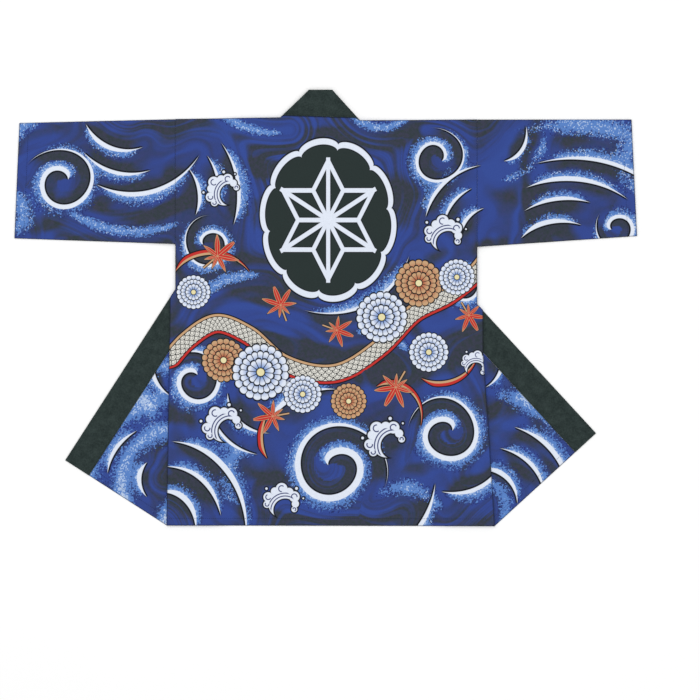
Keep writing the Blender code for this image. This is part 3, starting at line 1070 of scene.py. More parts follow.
@dataclass
class PrintGroups:
    """The node groups that draw the print, each with one colour as its output."""

    colours: PrintColours
    emblem: Medallion
    soft: float = 0.7  # softness of a line's edge, in millimetres
    border: float = 2.4  # width of the black line round a ribbon
    scale: float = 13.0  # width of a scale on the sash
    edging: float = 4.4  # width of the sash's tan and red edges
    edge_line: float = 5.0  # how far in the black line beside them is
    edge_soft: float = 0.02  # softness of a motif's edge, as a share of its size
    outline: float = 0.055  # width of the black line round a motif, likewise

    def __post_init__(self) -> None:
        """Builds every group once."""
        line, motif = ("Under", "Side", "Width"), ("Under", "Across", "Up", "Inside", "Kind")
        self.ground = self.group("marbled_ground", ("Dots", "Shade", "Flow"), self._ground)
        self.line = self.group("brush_line", (*line, "Dots"), self._line)
        self.ribbon = self.group("ribbon", (*line, "Along"), self._ribbon)
        self.bloom = self.group("bloom", motif, self._bloom)
        self.leaf = self.group("maple_leaf", motif, self._leaf)
        self.foam = self.group("foam_curl", motif, self._foam)
        self.medallion = self.group("hemp_leaf_medallion", ("Under",), self._medallion)

    @staticmethod
    def group(name: str, inputs: Sequence[str], draw: Callable[[Graph, dict], Socket]) -> bpy.types.NodeTree:
        """A group that puts out the one colour that draw makes inside it."""
        return node_group(name, inputs, ("Color",), lambda graph, given: {"Color": draw(graph, given)})

    def _ground(self, graph: Graph, given: dict) -> Socket:
        """Blue with dark streaks that follow the swirls, and dots that thicken to white.

        Args:
            graph: Its inside.
            given: Its inputs.

        Returns:
            The colour.
        """
        colours = self.colours
        place, x, y = graph.place()
        streak = graph.node("ShaderNodeCombineXYZ", {"X": given["Flow"] * 0.07, "Y": x * 3.5, "Z": y * 3.5})
        strands = graph.noise(streak.outputs[0], 1.0, 1.6) - 0.5
        patches = graph.noise(place, 9.0, 2.0) - 0.5
        tinge = graph.noise(place, 160.0, 2.0) - 0.5
        shade = (given["Shade"] * 1.9 - 0.18).math("ADD", 0.0, clamp=True) + strands * 3.0 + patches * 1.6
        dark = graph.mix(tinge.math("MULTIPLY_ADD", 3.0, 0.5, clamp=True), colours.dark, colours.plum)
        base = graph.mix(strands.math("MULTIPLY_ADD", 2.4, 0.4, clamp=True), colours.bright, colours.blue)
        under = graph.mix((shade * 0.95).math("ADD", 0.13, clamp=True), base, dark)
        cells = graph.node("ShaderNodeTexVoronoi", {"Vector": place, "Scale": 370.0})
        chance = graph.node("ShaderNodeSeparateColor", {"Color": cells.outputs["Color"]})
        first, second, third = (Value(socket) for socket in chance.outputs)
        dots, near = given["Dots"], Value(cells.outputs["Distance"])
        return graph.paint(
            under,
            ((dots - first * 0.58 - near * 0.22).above(0.0, 0.04), colours.mid),
            (second.above(0.68, 0.01) * dots.within(0.08, 0.6, 0.05) * near.below(0.5, 0.08), colours.navy),
            (third.above(0.86, 0.01) * dots.within(0.3, 0.8, 0.05) * near.below(0.42, 0.08), colours.pale),
            ((dots - second * 0.38 - near * 0.22).above(0.56, 0.05), colours.pale),
            ((dots - third * 0.36 - near * 0.22).above(0.76, 0.05), colours.white),
        )

    def _stroke(self, given: dict, border: float = 0.0) -> Value:
        """1 on a line and its border, and 0 beside it."""
        side, width = given["Side"], given["Width"]
        return side.above(-border, self.soft) * (side - width).below(border, self.soft) * width.above(0.3, 0.5)

    def _line(self, graph: Graph, given: dict) -> Socket:
        """A white brush line with a thin black line beside it.

        Args:
            graph: Its inside.
            given: Its inputs.

        Returns:
            The colour.
        """
        side, width = given["Side"], given["Width"]
        seen = width.above(0.3, 0.5)
        dark_side = side.within(-3.3, 0.0, self.soft) * seen
        bare_side = (side - width).within(0.0, 1.8, self.soft) * seen * given["Dots"].below(0.2, 0.1)
        return graph.paint(
            given["Under"],
            (dark_side.math("MAXIMUM", bare_side), self.colours.line),
            (self._stroke(given), self.colours.white),
        )

    def _ribbon(self, graph: Graph, given: dict) -> Socket:
        """A tan ribbon with a red edge; a wide one is a sash of pale scales between a tan edge and a red one.

        Args:
            graph: Its inside.
            given: Its inputs.

        Returns:
            The colour.
        """
        colours = self.colours
        side, width = given["Side"], given["Width"]
        narrow = graph.mix((side - width * 0.45).above(0.0, 0.8), colours.tan, colours.red)
        row = side * (2 / self.scale)
        shift, rise = (row.math("FLOOR") * 0.5).math("FRACT"), row.math("FRACT")
        aside = ((given["Along"] * (1 / self.scale) + shift).math("FRACT") - 0.5).math("ABSOLUTE")
        own = (aside * aside + rise * rise * 0.25).math("SQRT")
        far_x, far_y = 0.5 - aside, 1.0 - rise
        behind = (far_x * far_x + far_y * far_y * 0.25).math("SQRT")
        radius = own + (behind - own) * own.above(0.5, 0.01)
        ring = radius.within(0.41, 0.51, 0.03).math("MAXIMUM", radius.within(0.2, 0.27, 0.04) * 0.7)
        sash = graph.paint(
            colours.ivory,
            (ring, colours.line),
            ((side - self.edge_line).math("ABSOLUTE").below(0.9, 0.5), colours.line),
            ((side - width + self.edge_line).math("ABSOLUTE").below(0.9, 0.5), colours.line),
            (side.below(self.edging, 0.4), colours.tan),
            ((side - width + self.edging).above(0.0, 0.4), colours.red),
        )
        return graph.paint(
            given["Under"],
            (self._stroke(given, self.border), colours.line),
            (self._stroke(given), graph.mix(width.above(15.0, 0.1), narrow, sash)),
        )

    @staticmethod
    def _turn(across: Value, up: Value) -> Value:
        """The turn round a middle, from 0 to 1."""
        return up.math("ARCTAN2", across) * (0.5 / math.pi) + 0.5

    def _here(self, given: dict, low: float, high: float) -> Value:
        """1 inside a motif of these kinds, and 0 elsewhere."""
        return given["Kind"].within(low - 0.5, high + 0.5, 0.1) * given["Inside"].above(0.02, self.edge_soft)

    def _bloom(self, graph: Graph, given: dict) -> Socket:
        """A chrysanthemum of three rings of petals with a warm heart.

        Args:
            graph: Its inside.
            given: Its inputs.

        Returns:
            The colour.
        """
        colours, soft = self.colours, self.edge_soft
        radius, turn = given["Across"].length(given["Up"]), self._turn(given["Across"], given["Up"])
        warm = given["Kind"].above(1.5, 0.1)
        here = self._here(given, MotifKind.WHITE_BLOOM.value, MotifKind.WARM_BLOOM.value)
        base = graph.mix(warm, colours.mid, colours.rust)
        end = graph.mix(warm, colours.white, colours.tan)
        colour = given["Under"]
        for petals, shift, reach, round_off, low, high in (
            (20, 0.0, 0.82, 0.11, 0.56, 0.84),
            (20, 0.5, 0.59, 0.10, 0.36, 0.62),
            (12, 0.0, 0.35, 0.09, 0.14, 0.38),
        ):
            petal = turn.saw(petals, shift)
            past = radius - (petal.arch() * round_off + reach)
            within = past.below(0.0, soft)
            crease = ((0.5 - petal) * radius * (2 * math.pi / petals)).below(0.013, 0.012)
            fill = graph.mix((radius - low).math("MULTIPLY", 1 / (high - low), clamp=True), base, end)
            colour = graph.paint(
                colour,
                (past.below(self.outline, soft) * here, colours.line),
                (within * here, fill),
                (crease * within * here, colours.line),
            )
        return graph.paint(
            colour,
            (radius.below(0.16, soft) * here, colours.line),
            (radius.below(0.125, soft) * here, colours.cream),
        )

    def _leaf(self, graph: Graph, given: dict) -> Socket:
        """A seven-pointed maple leaf on its stalk, red with a tan rim and veins.

        Args:
            graph: Its inside.
            given: Its inputs.

        Returns:
            The colour.
        """
        colours = self.colours
        across, up = given["Across"], given["Up"]
        radius, turn = across.length(up), self._turn(across, up)
        here = self._here(given, MotifKind.LEAF.value, MotifKind.LEAF.value)
        lobe = turn.saw(7, 0.5)
        droop = ((turn - 0.5) * (2 * math.pi)).math("COSINE") * 0.22 + 0.74
        edge = droop * ((1.0 - lobe * 2.0).math("MAXIMUM", 0.0).math("POWER", 1.5) * 0.88 + 0.30)
        depth = edge - radius
        stalk, beside = across.within(-0.84, 0.0, 0.03) * here, up.math("ABSOLUTE")
        vein = (lobe * radius).below(0.012, 0.012) * depth.above(0.12, 0.05) * here
        return graph.paint(
            given["Under"],
            (beside.below(0.075, self.edge_soft) * stalk, colours.line),
            (beside.below(0.035, self.edge_soft) * stalk, colours.tan),
            (depth.above(-0.05, 0.03) * here, colours.line),
            (depth.above(0.0, 0.03) * here, colours.tan),
            (depth.above(0.075, 0.025) * here, colours.red),
            (vein, colours.tan),
        )

    def _foam(self, graph: Graph, given: dict) -> Socket:
        """A white wave crest: a ribbed crescent, lobes of foam along its back, and three drops.

        Args:
            graph: Its inside.
            given: Its inputs.

        Returns:
            The colour.
        """
        colours = self.colours
        across, up = given["Across"], given["Up"]
        here = given["Kind"].above(MotifKind.FOAM.value - 0.5, 0.1) * given["Inside"].above(0.02, self.edge_soft)
        low = 0.12  # how far the crescent's middle is below the motif's
        inner = (across - 0.20).length(up + 0.34)
        depth = across.length(up + low).math("SUBTRACT", 0.56).math("MAXIMUM", 0.50 - inner)
        hooks = (inner - 0.60).math("ABSOLUTE").math("MINIMUM", (inner - 0.72).math("ABSOLUTE"))
        hooks = hooks.math("MAXIMUM", depth + 0.06)
        for angle, reach, size, hooked in (
            (196, 0.62, 0.15, True), (168, 0.64, 0.20, True), (134, 0.60, 0.17, False), (106, 0.64, 0.24, True),
            (74, 0.58, 0.18, False), (46, 0.60, 0.22, True), (16, 0.56, 0.15, False), (-8, 0.56, 0.12, True),
            (150, 0.91, 0.05, False), (62, 0.89, 0.06, False), (30, 0.92, 0.035, False),
        ):
            turn = math.radians(angle)
            east, north = across - reach * math.cos(turn), up - (reach * math.sin(turn) - low)
            lobe = east.length(north)
            depth = depth.math("MINIMUM", lobe - size)
            if hooked:
                open_side = east * math.cos(turn - 1.9) + north * math.sin(turn - 1.9)
                hook = (lobe - size * 0.52).math("ABSOLUTE").math("MAXIMUM", open_side - size * 0.1)
                hooks = hooks.math("MINIMUM", hook)
        return graph.paint(
            given["Under"],
            (depth.below(self.outline, 0.025) * here, colours.line),
            (depth.below(0.0, 0.025) * here, colours.white),
            (hooks.below(0.022, 0.02) * here, colours.navy),
        )

    def _medallion(self, graph: Graph, given: dict) -> Socket:
        """A lobed dark medallion with a white rim and a six-pointed hemp leaf.

        Args:
            graph: Its inside.
            given: Its inputs.

        Returns:
            The colour.
        """
        colours, sizes = self.colours, self.emblem
        _, x, y = graph.place()
        across, up = (x - sizes.x) * (1 / sizes.half_width), (y - sizes.y) * (1 / sizes.half_height)
        edge = self._turn(across, up).saw(sizes.lobes, 0.25).arch() * 0.075 + 0.925
        depth = (edge - across.length(up)) * 150.0
        east, north = (x - sizes.x) * MILLI, (y - sizes.y) * (MILLI * sizes.squash)
        size = east.length(north)
        wedge = self._turn(north, east).saw(sizes.points) * (2 * math.pi / sizes.points)
        along, aside = size * wedge.math("COSINE"), size * wedge.math("SINE")
        half, waist = math.pi / sizes.points, sizes.reach / math.sqrt(3)
        back, out = sizes.reach - waist * math.cos(half), waist * math.sin(half)
        slant = math.hypot(back, out)
        rim = ((along - sizes.reach) * (out / slant) + aside * (back / slant)).math("ABSOLUTE")
        rib = (along * math.sin(half) - aside * math.cos(half)).math("ABSOLUTE").math("MAXIMUM", size - waist)
        star = aside.math("MINIMUM", rim).math("MINIMUM", rib)
        inside = along.below(sizes.reach + 6.0, 1.0)
        return graph.paint(
            given["Under"],
            (depth.above(-3.0, 1.0), colours.line),
            (depth.above(0.0, 1.0), colours.white),
            (depth.above(11.0, 1.0), colours.line),
            (depth.above(13.0, 1.0), colours.ink),
            (star.below(5.6, 0.8) * inside, colours.line),
            (star.below(4.0, 0.8) * inside, colours.white),
        )


@dataclass
class ClothGroups:
    """The node groups for how cotton looks from close by."""

    slub: float = 0.0006  # how far a thread strays, in metres

    def __post_init__(self) -> None:
        """Builds the weave group."""
        self.weave = node_group("cotton_weave", ("Threads", "Depth"), ("Tint", "Height"), self._weave)

    def _weave(self, graph: Graph, given: dict) -> dict:
        """Crossing threads of uneven thickness.

        Args:
            graph: The group's inside.
            given: Its inputs.

        Returns:
            Its outputs.
        """
        place, x, y = graph.place()
        slub_x, slub_y = graph.noise(place, 90.0, 2.0) - 0.5, graph.noise(place, 140.0, 2.0) - 0.5
        warp = ((x + slub_x * self.slub) * given["Threads"]).math("SINE")
        weft = ((y + slub_y * self.slub) * given["Threads"]).math("SINE")
        threads, fleck = warp * weft, graph.noise(place, 420.0, 2.0) - 0.5
        return {"Tint": (threads * 0.35 + fleck * 1.1) * given["Depth"], "Height": threads * 0.5 + fleck * 1.2}


@dataclass(frozen=True, kw_only=True)
class Cotton:
    """A woven cotton."""

    name: str
    cloth: ClothGroups
    threads: float  # angle of the weave's waves in a metre
    depth: float  # how much the threads differ in brightness
    relief: float  # strength of the threads' relief
    relief_height: float
    roughness: float
    specular: float
    sheen: float = 0.0

    def colour(self, graph: Graph) -> Socket:
        """The cotton's own colour, without its threads."""
        raise NotImplementedError

    def build(self) -> Material:
        """Makes the material.

        Returns:
            The material.
        """
        material = bpy.data.materials.new(self.name)
        material.use_nodes = True
        graph = Graph(material.node_tree)
        sizes = {"Threads": self.threads, "Depth": self.depth}
        weave = graph.node("ShaderNodeGroup", sizes, node_tree=self.cloth.weave)
        bright = Value(weave.outputs["Tint"]) + 1.0
        colour = graph.node("ShaderNodeHueSaturation", {"Color": self.colour(graph), "Value": bright})
        relief = {"Height": weave.outputs["Height"], "Strength": self.relief, "Distance": self.relief_height}
        graph.surface(
            {
                "Base Color": colour.outputs[0],
                "Normal": graph.node("ShaderNodeBump", relief).outputs[0],
                "Roughness": self.roughness,
                "Specular IOR Level": self.specular,
                "Sheen Weight": self.sheen,
            }
        )
        return material


@dataclass(frozen=True, kw_only=True)
class PrintedCotton(Cotton):
    """Printed cotton: the print on one face and its paler ghost on the other."""

    groups: PrintGroups
    motifs: bool = False
    threads: float = 3900.0
    depth: float = 0.22
    relief: float = 0.35
    relief_height: float = 0.0002
    roughness: float = 0.86
    specular: float = 0.12
    sheen: float = 0.04

    def colour(self, graph: Graph) -> Socket:
        """The print, with painted shade as a dark line along the cloth's edges.

        Args:
            graph: The material's nodes.

        Returns:
            The colour.
        """
        first, second = graph.attribute("lines_a"), graph.attribute("lines_b")
        dots, shade, flow, along = graph.attribute("tone")
        edge, printed, _, _ = graph.attribute("cloth")
        groups, colours = self.groups, self.groups.colours
        colour = graph.use(groups.ground, {"Dots": dots, "Shade": shade, "Flow": flow})
        for side, width in (first[:2], first[2:], second[:2]):
            colour = graph.use(groups.line, {"Under": colour, "Side": side, "Width": width, "Dots": dots})
        if self.motifs:
            ribbon = {"Under": colour, "Side": second[2], "Width": second[3], "Along": along}
            colour = graph.use(groups.ribbon, ribbon)
            for layer, group in (
                ("motif_low", groups.foam),
                ("motif_low", groups.leaf),
                ("motif_low", groups.bloom),
                ("motif_high", groups.bloom),
            ):
                numbers = dict(zip(("Across", "Up", "Inside", "Kind"), graph.attribute(layer)))
                colour = graph.use(group, {"Under": colour, **numbers})
            colour = graph.use(groups.medallion, {"Under": colour})
        # painted shade: a dark line along the cloth's edges, standing in for the shadow at the rim
        colour = graph.mix(edge.below(1.5, 1.2) * 0.6, colour, colours.line)
        return graph.mix(printed.above(0.5, 0.1), graph.mix(0.62, colour, colours.ghost), colour)


@dataclass(frozen=True, kw_only=True)
class PlainCotton(Cotton):
    """Plain dyed cotton."""

    dye: Colour
    light: Colour  # where it is worn
    threads: float = 3300.0
    depth: float = 0.3
    relief: float = 0.5
    relief_height: float = 0.0003
    roughness: float = 0.9
    specular: float = 0.1

    def colour(self, graph: Graph) -> Socket:
        """The dye, with paler specks and clouds.

        Args:
            graph: The material's nodes.

        Returns:
            The colour.
        """
        place, _, _ = graph.place()
        clouds, specks = graph.noise(place, 60.0, 4.0, 0.7) - 0.5, graph.noise(place, 330.0, 2.0) - 0.5
        return graph.mix(clouds * 1.4 + specks * 1.2 + 0.35, self.dye, self.light)


# --- Shells ---


def spread(line: Corners, count: int) -> Array:
    """Points along a line of straight stretches, evenly apart, with one on each corner.

    Args:
        line: The line's corners.
        count: How many gaps there are.

    Returns:
        count + 1 rows of x and y.
    """
    corners = rows_of(line)
    lengths = np.concatenate([[0], np.cumsum(np.linalg.norm(np.diff(corners, axis=0), axis=1))])
    places = np.linspace(0, lengths[-1], count + 1)
    for corner in lengths[1:-1]:
        places[1 + int(np.argmin(np.abs(places[1:-1] - corner)))] = corner
    return np.stack([np.interp(places, lengths, corners[:, axis]) for axis in range(2)], axis=1)


def patch(bottom: Array, top: Array, left: Array, right: Array) -> Array:
    """A grid of points between four lines that meet at their ends.

    Args:
        bottom: From the left line's start to the right line's.
        top: From the left line's end to the right line's.
        left: From bottom to top.
        right: From bottom to top.

    Returns:
        Points by row, column and axis.
    """
    across = np.linspace(0, 1, len(bottom))[None, :, None]
    up = np.linspace(0, 1, len(left))[:, None, None]
    faces = (1 - up) * bottom[None] + up * top[None] + (1 - across) * left[:, None] + across * right[:, None]
    corners = (1 - up) * ((1 - across) * bottom[0] + across * bottom[-1])
    corners = corners + up * ((1 - across) * top[0] + across * top[-1])
    return faces - corners


def hem_share(points: Array, line: Corners, depth: float) -> Array:
    """1 where the cloth is folded double along a line, this far in, and 0 past that, with a soft step."""
    return smooth((depth + HEM_OVER - segment_distances(points, line)) / HEM_STEP)


def into_scene(name: str, data: bpy.types.ID) -> bpy.types.Object:
    """Puts a mesh, a light or a camera into the scene.

    Args:
        name: The object's name.
        data: What it holds.

    Returns:
        The object.
    """
    item = bpy.data.objects.new(name, data)
    bpy.context.scene.collection.objects.link(item)
    return item


def mesh_piece(name: str, mesh: bmesh.types.BMesh) -> bpy.types.Object:
    """Turns a finished bmesh into a piece with soft shading.

    Args:
        name: The piece's name.
        mesh: The bmesh, which is freed.

    Returns:
        The piece.
    """
    for face in mesh.faces:
        face.smooth = True
    data = bpy.data.meshes.new(name)
    mesh.to_mesh(data)
    mesh.free()
    return into_scene(name, data)


@dataclass(frozen=True)
class Goods:
    """What a shell is made of."""

    ending: str  # of its piece's name
    room: float  # its height in the stack
    slot: str
    rounded: bool  # at its rim


CLOTH = Goods("cloth", CLOTH_WALL, "printed_cotton", False)
BAND = Goods("band", BAND_WALL, "collar_cotton", True)


@dataclass
class Shell:
    """A cloth shell made from one grid of points on its printed face.

    node is the CAD node that it stands for, spots holds the points by row, column and axis, and island says for each
    of them which part of the colour map it belongs to, 0 being the seen one.
    """

    node: str
    goods: Goods
    spots: Array
    island: Array
    flip: bool = False
    margin: float = 0.01  # round the colour map's parts
    seen_share: float = 0.76  # of the colour map's shorter way, for the seen part
    part_share: float = 0.94  # of its room, for another part
    merge: float = 2e-6  # points this close are one
    sharp: float = 1.0  # the angle in radians past which an edge is rounded
    rounding: float = 0.38  # of the wall
    edge_kept: float = 30.0  # greatest distance to the cloth's edge that is kept, in millimetres
    source: Array = field(init=False)
    printed: Array = field(init=False)
    places: Array = field(init=False)
    piece: bpy.types.Object = field(init=False)

    def build(self) -> None:
        """Makes the mesh."""
        rows, columns = self.spots.shape[0] - 1, self.spots.shape[1] - 1
        wall = self.goods.room - 2 * TRIM
        mesh = bmesh.new()
        bmesh.ops.create_grid(mesh, x_segments=columns, y_segments=rows, size=0.5)
        mesh.verts.layers.int.new("source")
        mesh.verts.layers.int.new("seen")
        source, seen = (mesh.verts.layers.int[name] for name in ("source", "seen"))
        for index, (vert, spot) in enumerate(zip(mesh.verts, self.spots.reshape(-1, 3))):
            vert.co = spot
            vert[source] = index
        if self.flip:
            bmesh.ops.reverse_faces(mesh, faces=mesh.faces[:])
        bmesh.ops.remove_doubles(mesh, verts=mesh.verts[:], dist=self.merge)
        bmesh.ops.dissolve_degenerate(mesh, dist=self.merge / 2, edges=mesh.edges[:])
        mesh.normal_update()
        front = set(mesh.verts)
        bmesh.ops.solidify(mesh, geom=mesh.faces[:], thickness=wall)
        for vert in mesh.verts:
            vert[seen] = int(vert in front)
        if self.goods.rounded:
            mesh.normal_update()
            rim = [edge for edge in mesh.edges if len(edge.link_faces) == 2 and edge.calc_face_angle(0) > self.sharp]
            bmesh.ops.bevel(
                mesh, geom=rim, offset=wall * self.rounding, segments=2, profile=0.5, affect="EDGES", material=-1,
                clamp_overlap=True,
            )
        for vert in mesh.verts:
            vert.co.z = max(vert.co.z, 0.0)
        self.piece = mesh_piece(f"{self.node}_{self.goods.ending}", mesh)
        self.source, self.printed = self.take("source"), self.take("seen")
        places = np.zeros(len(self.source) * 3, dtype=np.float32)
        self.piece.data.vertices.foreach_get("co", places)
        self.places = places.reshape(-1, 3)

    def take(self, name: str) -> Array:
        """Takes a whole number for each point off the mesh.

        Args:
            name: What the numbers are stored under.

        Returns:
            The numbers.
        """
        data = self.piece.data
        numbers = np.zeros(len(data.vertices), dtype=np.int32)
        data.attributes[name].data.foreach_get("value", numbers)
        data.attributes.remove(data.attributes[name])
        return numbers

    def keep(self, name: str, rows: Array) -> None:
        """Stores a row of four numbers for each point of the mesh."""
        store = self.piece.data.attributes.new(name, "FLOAT_COLOR", "POINT")
        store.data.foreach_set("color", np.ascontiguousarray(rows, dtype=np.float32).ravel())

    def print_on(self, design: PrintDesign, edges: Sequence[Corners]) -> None:
        """Keeps the print on the shell's points.

        Args:
            design: The drawing.
            edges: The lines where the cloth ends.
        """
        flat = self.spots.reshape(-1, 3)[:, :2]
        lines, tone = design.lines(flat)
        rows = {"lines_a": lines[:, :4], "lines_b": lines[:, 4:], "tone": tone}
        if design.lower:
            rows |= {"motif_low": design.place(flat, design.lower), "motif_high": design.place(flat, design.upper)}
        for name, numbers in rows.items():
            self.keep(name, numbers[self.source])
        cloth = np.zeros((len(self.source), 4))
        # the distance to the cloth's edge, along which the material paints a dark line of shade
        outline = np.min([segment_distances(flat, line) for line in edges], axis=0)
        cloth[:, 0] = np.clip(outline[self.source] * MILLI, 0, self.edge_kept)
        cloth[:, 1] = self.printed
        self.keep("cloth", cloth)

    def unwrap(self) -> None:
        """Lays the shell out flat for its colour map: its seen face large, and its other faces small beside it."""
        data = self.piece.data
        loops = len(data.loops)
        corner = np.zeros(loops, dtype=np.int32)
        data.loops.foreach_get("vertex_index", corner)
        starts = np.zeros(len(data.polygons), dtype=np.int32)
        data.polygons.foreach_get("loop_start", starts)
        kind = self.island.reshape(-1)[self.source] * 2 + (1 - self.printed)
        face_kind = np.maximum.reduceat(kind[corner], starts)
        loop_kind = np.repeat(face_kind, np.diff(np.append(starts, loops)))
        spots = self.places[corner, :2]
        uv = np.zeros((loops, 2), dtype=np.float32)
        kinds = sorted(set(loop_kind.tolist()))
        size = [np.ptp(spots[loop_kind == one], axis=0) for one in kinds]
        main, margin = size[0], self.margin
        tall = main[1] >= main[0]
        scale = min((1 - 2 * margin) / max(main), self.seen_share / min(main))
        strip = 1 - 3 * margin - (main[0] if tall else main[1]) * scale
        for order, one in enumerate(kinds):
            chosen = loop_kind == one
            low = spots[chosen].min(axis=0)
            if order == 0:
                uv[chosen] = (spots[chosen] - low) * scale + margin
                continue
            room = (1 - 2 * margin) / (len(kinds) - 1)
            wide, high = (strip, room * self.part_share) if tall else (room * self.part_share, strip)
            small = min(wide / size[order][0], high / size[order][1])
            offset = np.array([1 - 1.5 * margin - strip, margin + room * (order - 1)])
            uv[chosen] = (spots[chosen] - low) * small + (offset if tall else offset[::-1])
        data.uv_layers.new(name="OFBake").uv.foreach_set("vector", uv.ravel())

    def finish(
        self, material: Material, design: PrintDesign | None = None, edges: Sequence[Corners] = ()
    ) -> bpy.types.Object:
        """Makes the shell, with its print where it has one, and gives it its finish and its place in the frame.

        Args:
            material: Its finish.
            design: The drawing on it.
            edges: The lines where its cloth ends.

        Returns:
            The piece.
        """
        self.build()
        if design:
            self.print_on(design, edges)
        self.unwrap()
        self.piece.data.materials.append(material)
        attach(self.piece, "root")
        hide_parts(self.node)
        data = self.piece.data
        log.info("%s: %d points, %d faces", self.piece.name, len(data.vertices), len(data.polygons))
        return self.piece


@dataclass
class LaidCloth:
    """What every piece of the coat is laid by."""

    fronts: tuple[FrontLines, FrontLines]
    stack: Stack
    creases: tuple[Crease, ...] = CREASES

    def lift(self, points: Array) -> Array:
        """How far the creases lift every layer at points."""
        return np.sum([crease.lift(points) for crease in self.creases], axis=0)

    def put(self, flat: Array, under: Underside, rise: float) -> Array:
        """Gives flat points, by row, column and axis, their heights: this far over a layer's underside."""
        height = under(flat.reshape(-1, 2)) + rise + self.lift(flat.reshape(-1, 2))
        return np.concatenate([flat, height.reshape(*flat.shape[:-1], 1)], axis=-1)

    def round_fold(self, axis: Array, way: Array, high: Array, low: Array) -> list[Array]:
        """The round bend of a fold between two layers, without its two ends.

        Args:
            axis: Points along the fold.
            way: How far the bend stands out in its middle, by axis.
            high: The height of its upper end at each point.
            low: The height of its lower end.

        Returns:
            Rows of points, from the upper end to the lower one.
        """
        lift = self.lift(axis)
        rows = []
        for step in range(1, BEND_STEPS):
            turn = math.pi * (0.5 - step / BEND_STEPS)
            height = (high + low) / 2 + (high - low) / 2 * math.sin(turn) + lift
            rows.append(np.concatenate([axis + way * math.cos(turn), height[:, None]], axis=1))
        return rows

    def front_fold(self, axis: Array, outward: Vector, room: float) -> Array:
        """The bend where a front, or its band, is turned under: points by row, step and axis, without its two ends."""
        high, low = self.stack.middle(axis) + TRIM, self.stack.surface(axis) + (room - TRIM)
        return np.stack(self.round_fold(axis, -np.array(outward) * (GAP / 2 + TRIM), high, low), axis=1)


@dataclass
class Stitches:
    """A row of stitches on a piece."""

    name: str
    laid: LaidCloth
    under: Underside
    rise: float
    pitch: float = 0.0042
    length: float = 0.0030
    thick: float = 0.0007

    def build(self, lines: Sequence[Corners], material: Material) -> bpy.types.Object:
        """Makes the row.

        Args:
            lines: The lines that it follows.
            material: The thread's finish.

        Returns:
            The piece.
        """
        mesh = bmesh.new()
        for line in lines:
            corners = [Vector(corner) for corner in rows_of(line)]
            for start, end in zip(corners, corners[1:]):
                self.run(mesh, start, end)
        piece = mesh_piece(self.name, mesh)
        piece.data.materials.append(material)
        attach(piece, "root")
        log.info("%s: %d faces", self.name, len(piece.data.polygons))
        return piece

    def run(self, mesh: bmesh.types.BMesh, start: Vector, end: Vector) -> None:
        """Adds the stitches of one straight stretch.

        Args:
            mesh: The mesh that they go into.
            start: Where the stretch starts.
            end: Where it ends.
        """
        count = max(1, round((end - start).length / self.pitch))
        spots = np.array([start.lerp(end, (index + 0.5) / count) for index in range(count)])
        heights = self.under(spots) + self.rise + self.laid.lift(spots) + self.thick * 0.1
        turn = Matrix.Rotation(math.atan2(end.y - start.y, end.x - start.x), 4, "Z")
        size = Matrix.Diagonal((self.length, self.thick, self.thick * 0.6, 1.0))
        for spot, height in zip(spots, heights):
            place = Matrix.Translation((spot[0], spot[1], height)) @ turn @ size
            bmesh.ops.create_uvsphere(mesh, u_segments=6, v_segments=4, radius=0.5, matrix=place)


def beside(line: Corners, across: float, inset: float = 0.004) -> list[Vector]:
    """A straight line moved to its left by a distance.

    Args:
        line: Its two ends.
        across: The distance to the left.
        inset: How far in each end is brought.

    Returns:
        The moved line's two ends.
    """
    start, end = (Vector(corner) for corner in rows_of(line))
    along = (end - start).normalized()
    move = Vector((-along.y, along.x)) * across
    return [start + move + along * inset, end + move - along * inset]


@dataclass
class Part:
    """A part of the coat: how it is laid, its finish, and its stitches' finish."""

    laid: LaidCloth
    material: Material
    thread: Material


@dataclass
class BackPanel(Part):
    """The back panel, which lies on top of the fronts."""

    design: PrintDesign
    columns: int = 188
    rows: int = 240
    hem_depth: float = 0.016
    stitch_line: float = 0.0145  # from the hem

    def lines(self) -> tuple[list, list, list, list]:
        """The panel's four edges.

        Returns:
            The hem, the shoulders and both sides, from the hem up and from left to right.
        """
        left, right = (front.side for front in self.laid.fronts)
        sides = [[*side.edge[::-1], *side.seam(-GAP / 2)] for side in (left, right)]
        top = [sides[0][-1], left.neck, left.neck_seam, right.neck_seam, right.neck, sides[1][-1]]
        return [sides[0][0], sides[1][0]], top, sides[0], sides[1]

    def build(self) -> None:
        """Makes the panel and its hem's stitches."""
        hem, top, left, right = self.lines()
        stack = self.laid.stack
        flat = patch(
            spread(hem, self.columns), spread(top, self.columns), spread(left, self.rows), spread(right, self.rows)
        )
        spots = self.laid.put(flat, stack.top, CLOTH_WALL - TRIM)
        fold = hem_share(flat.reshape(-1, 2), hem, self.hem_depth)
        spots[..., 2] += HEM_RISE * fold.reshape(flat.shape[:2])
        shell = Shell("back_panel", CLOTH, spots, np.zeros(flat.shape[:2], dtype=int))
        piece = shell.finish(self.material, self.design, [left[:-1][::-1] + right[:-1], top])
        seam = Stitches("hem_stitches_back", self.laid, stack.top, CLOTH_WALL - TRIM + HEM_RISE)
        seam = seam.build([beside(hem, self.stitch_line)], self.thread)


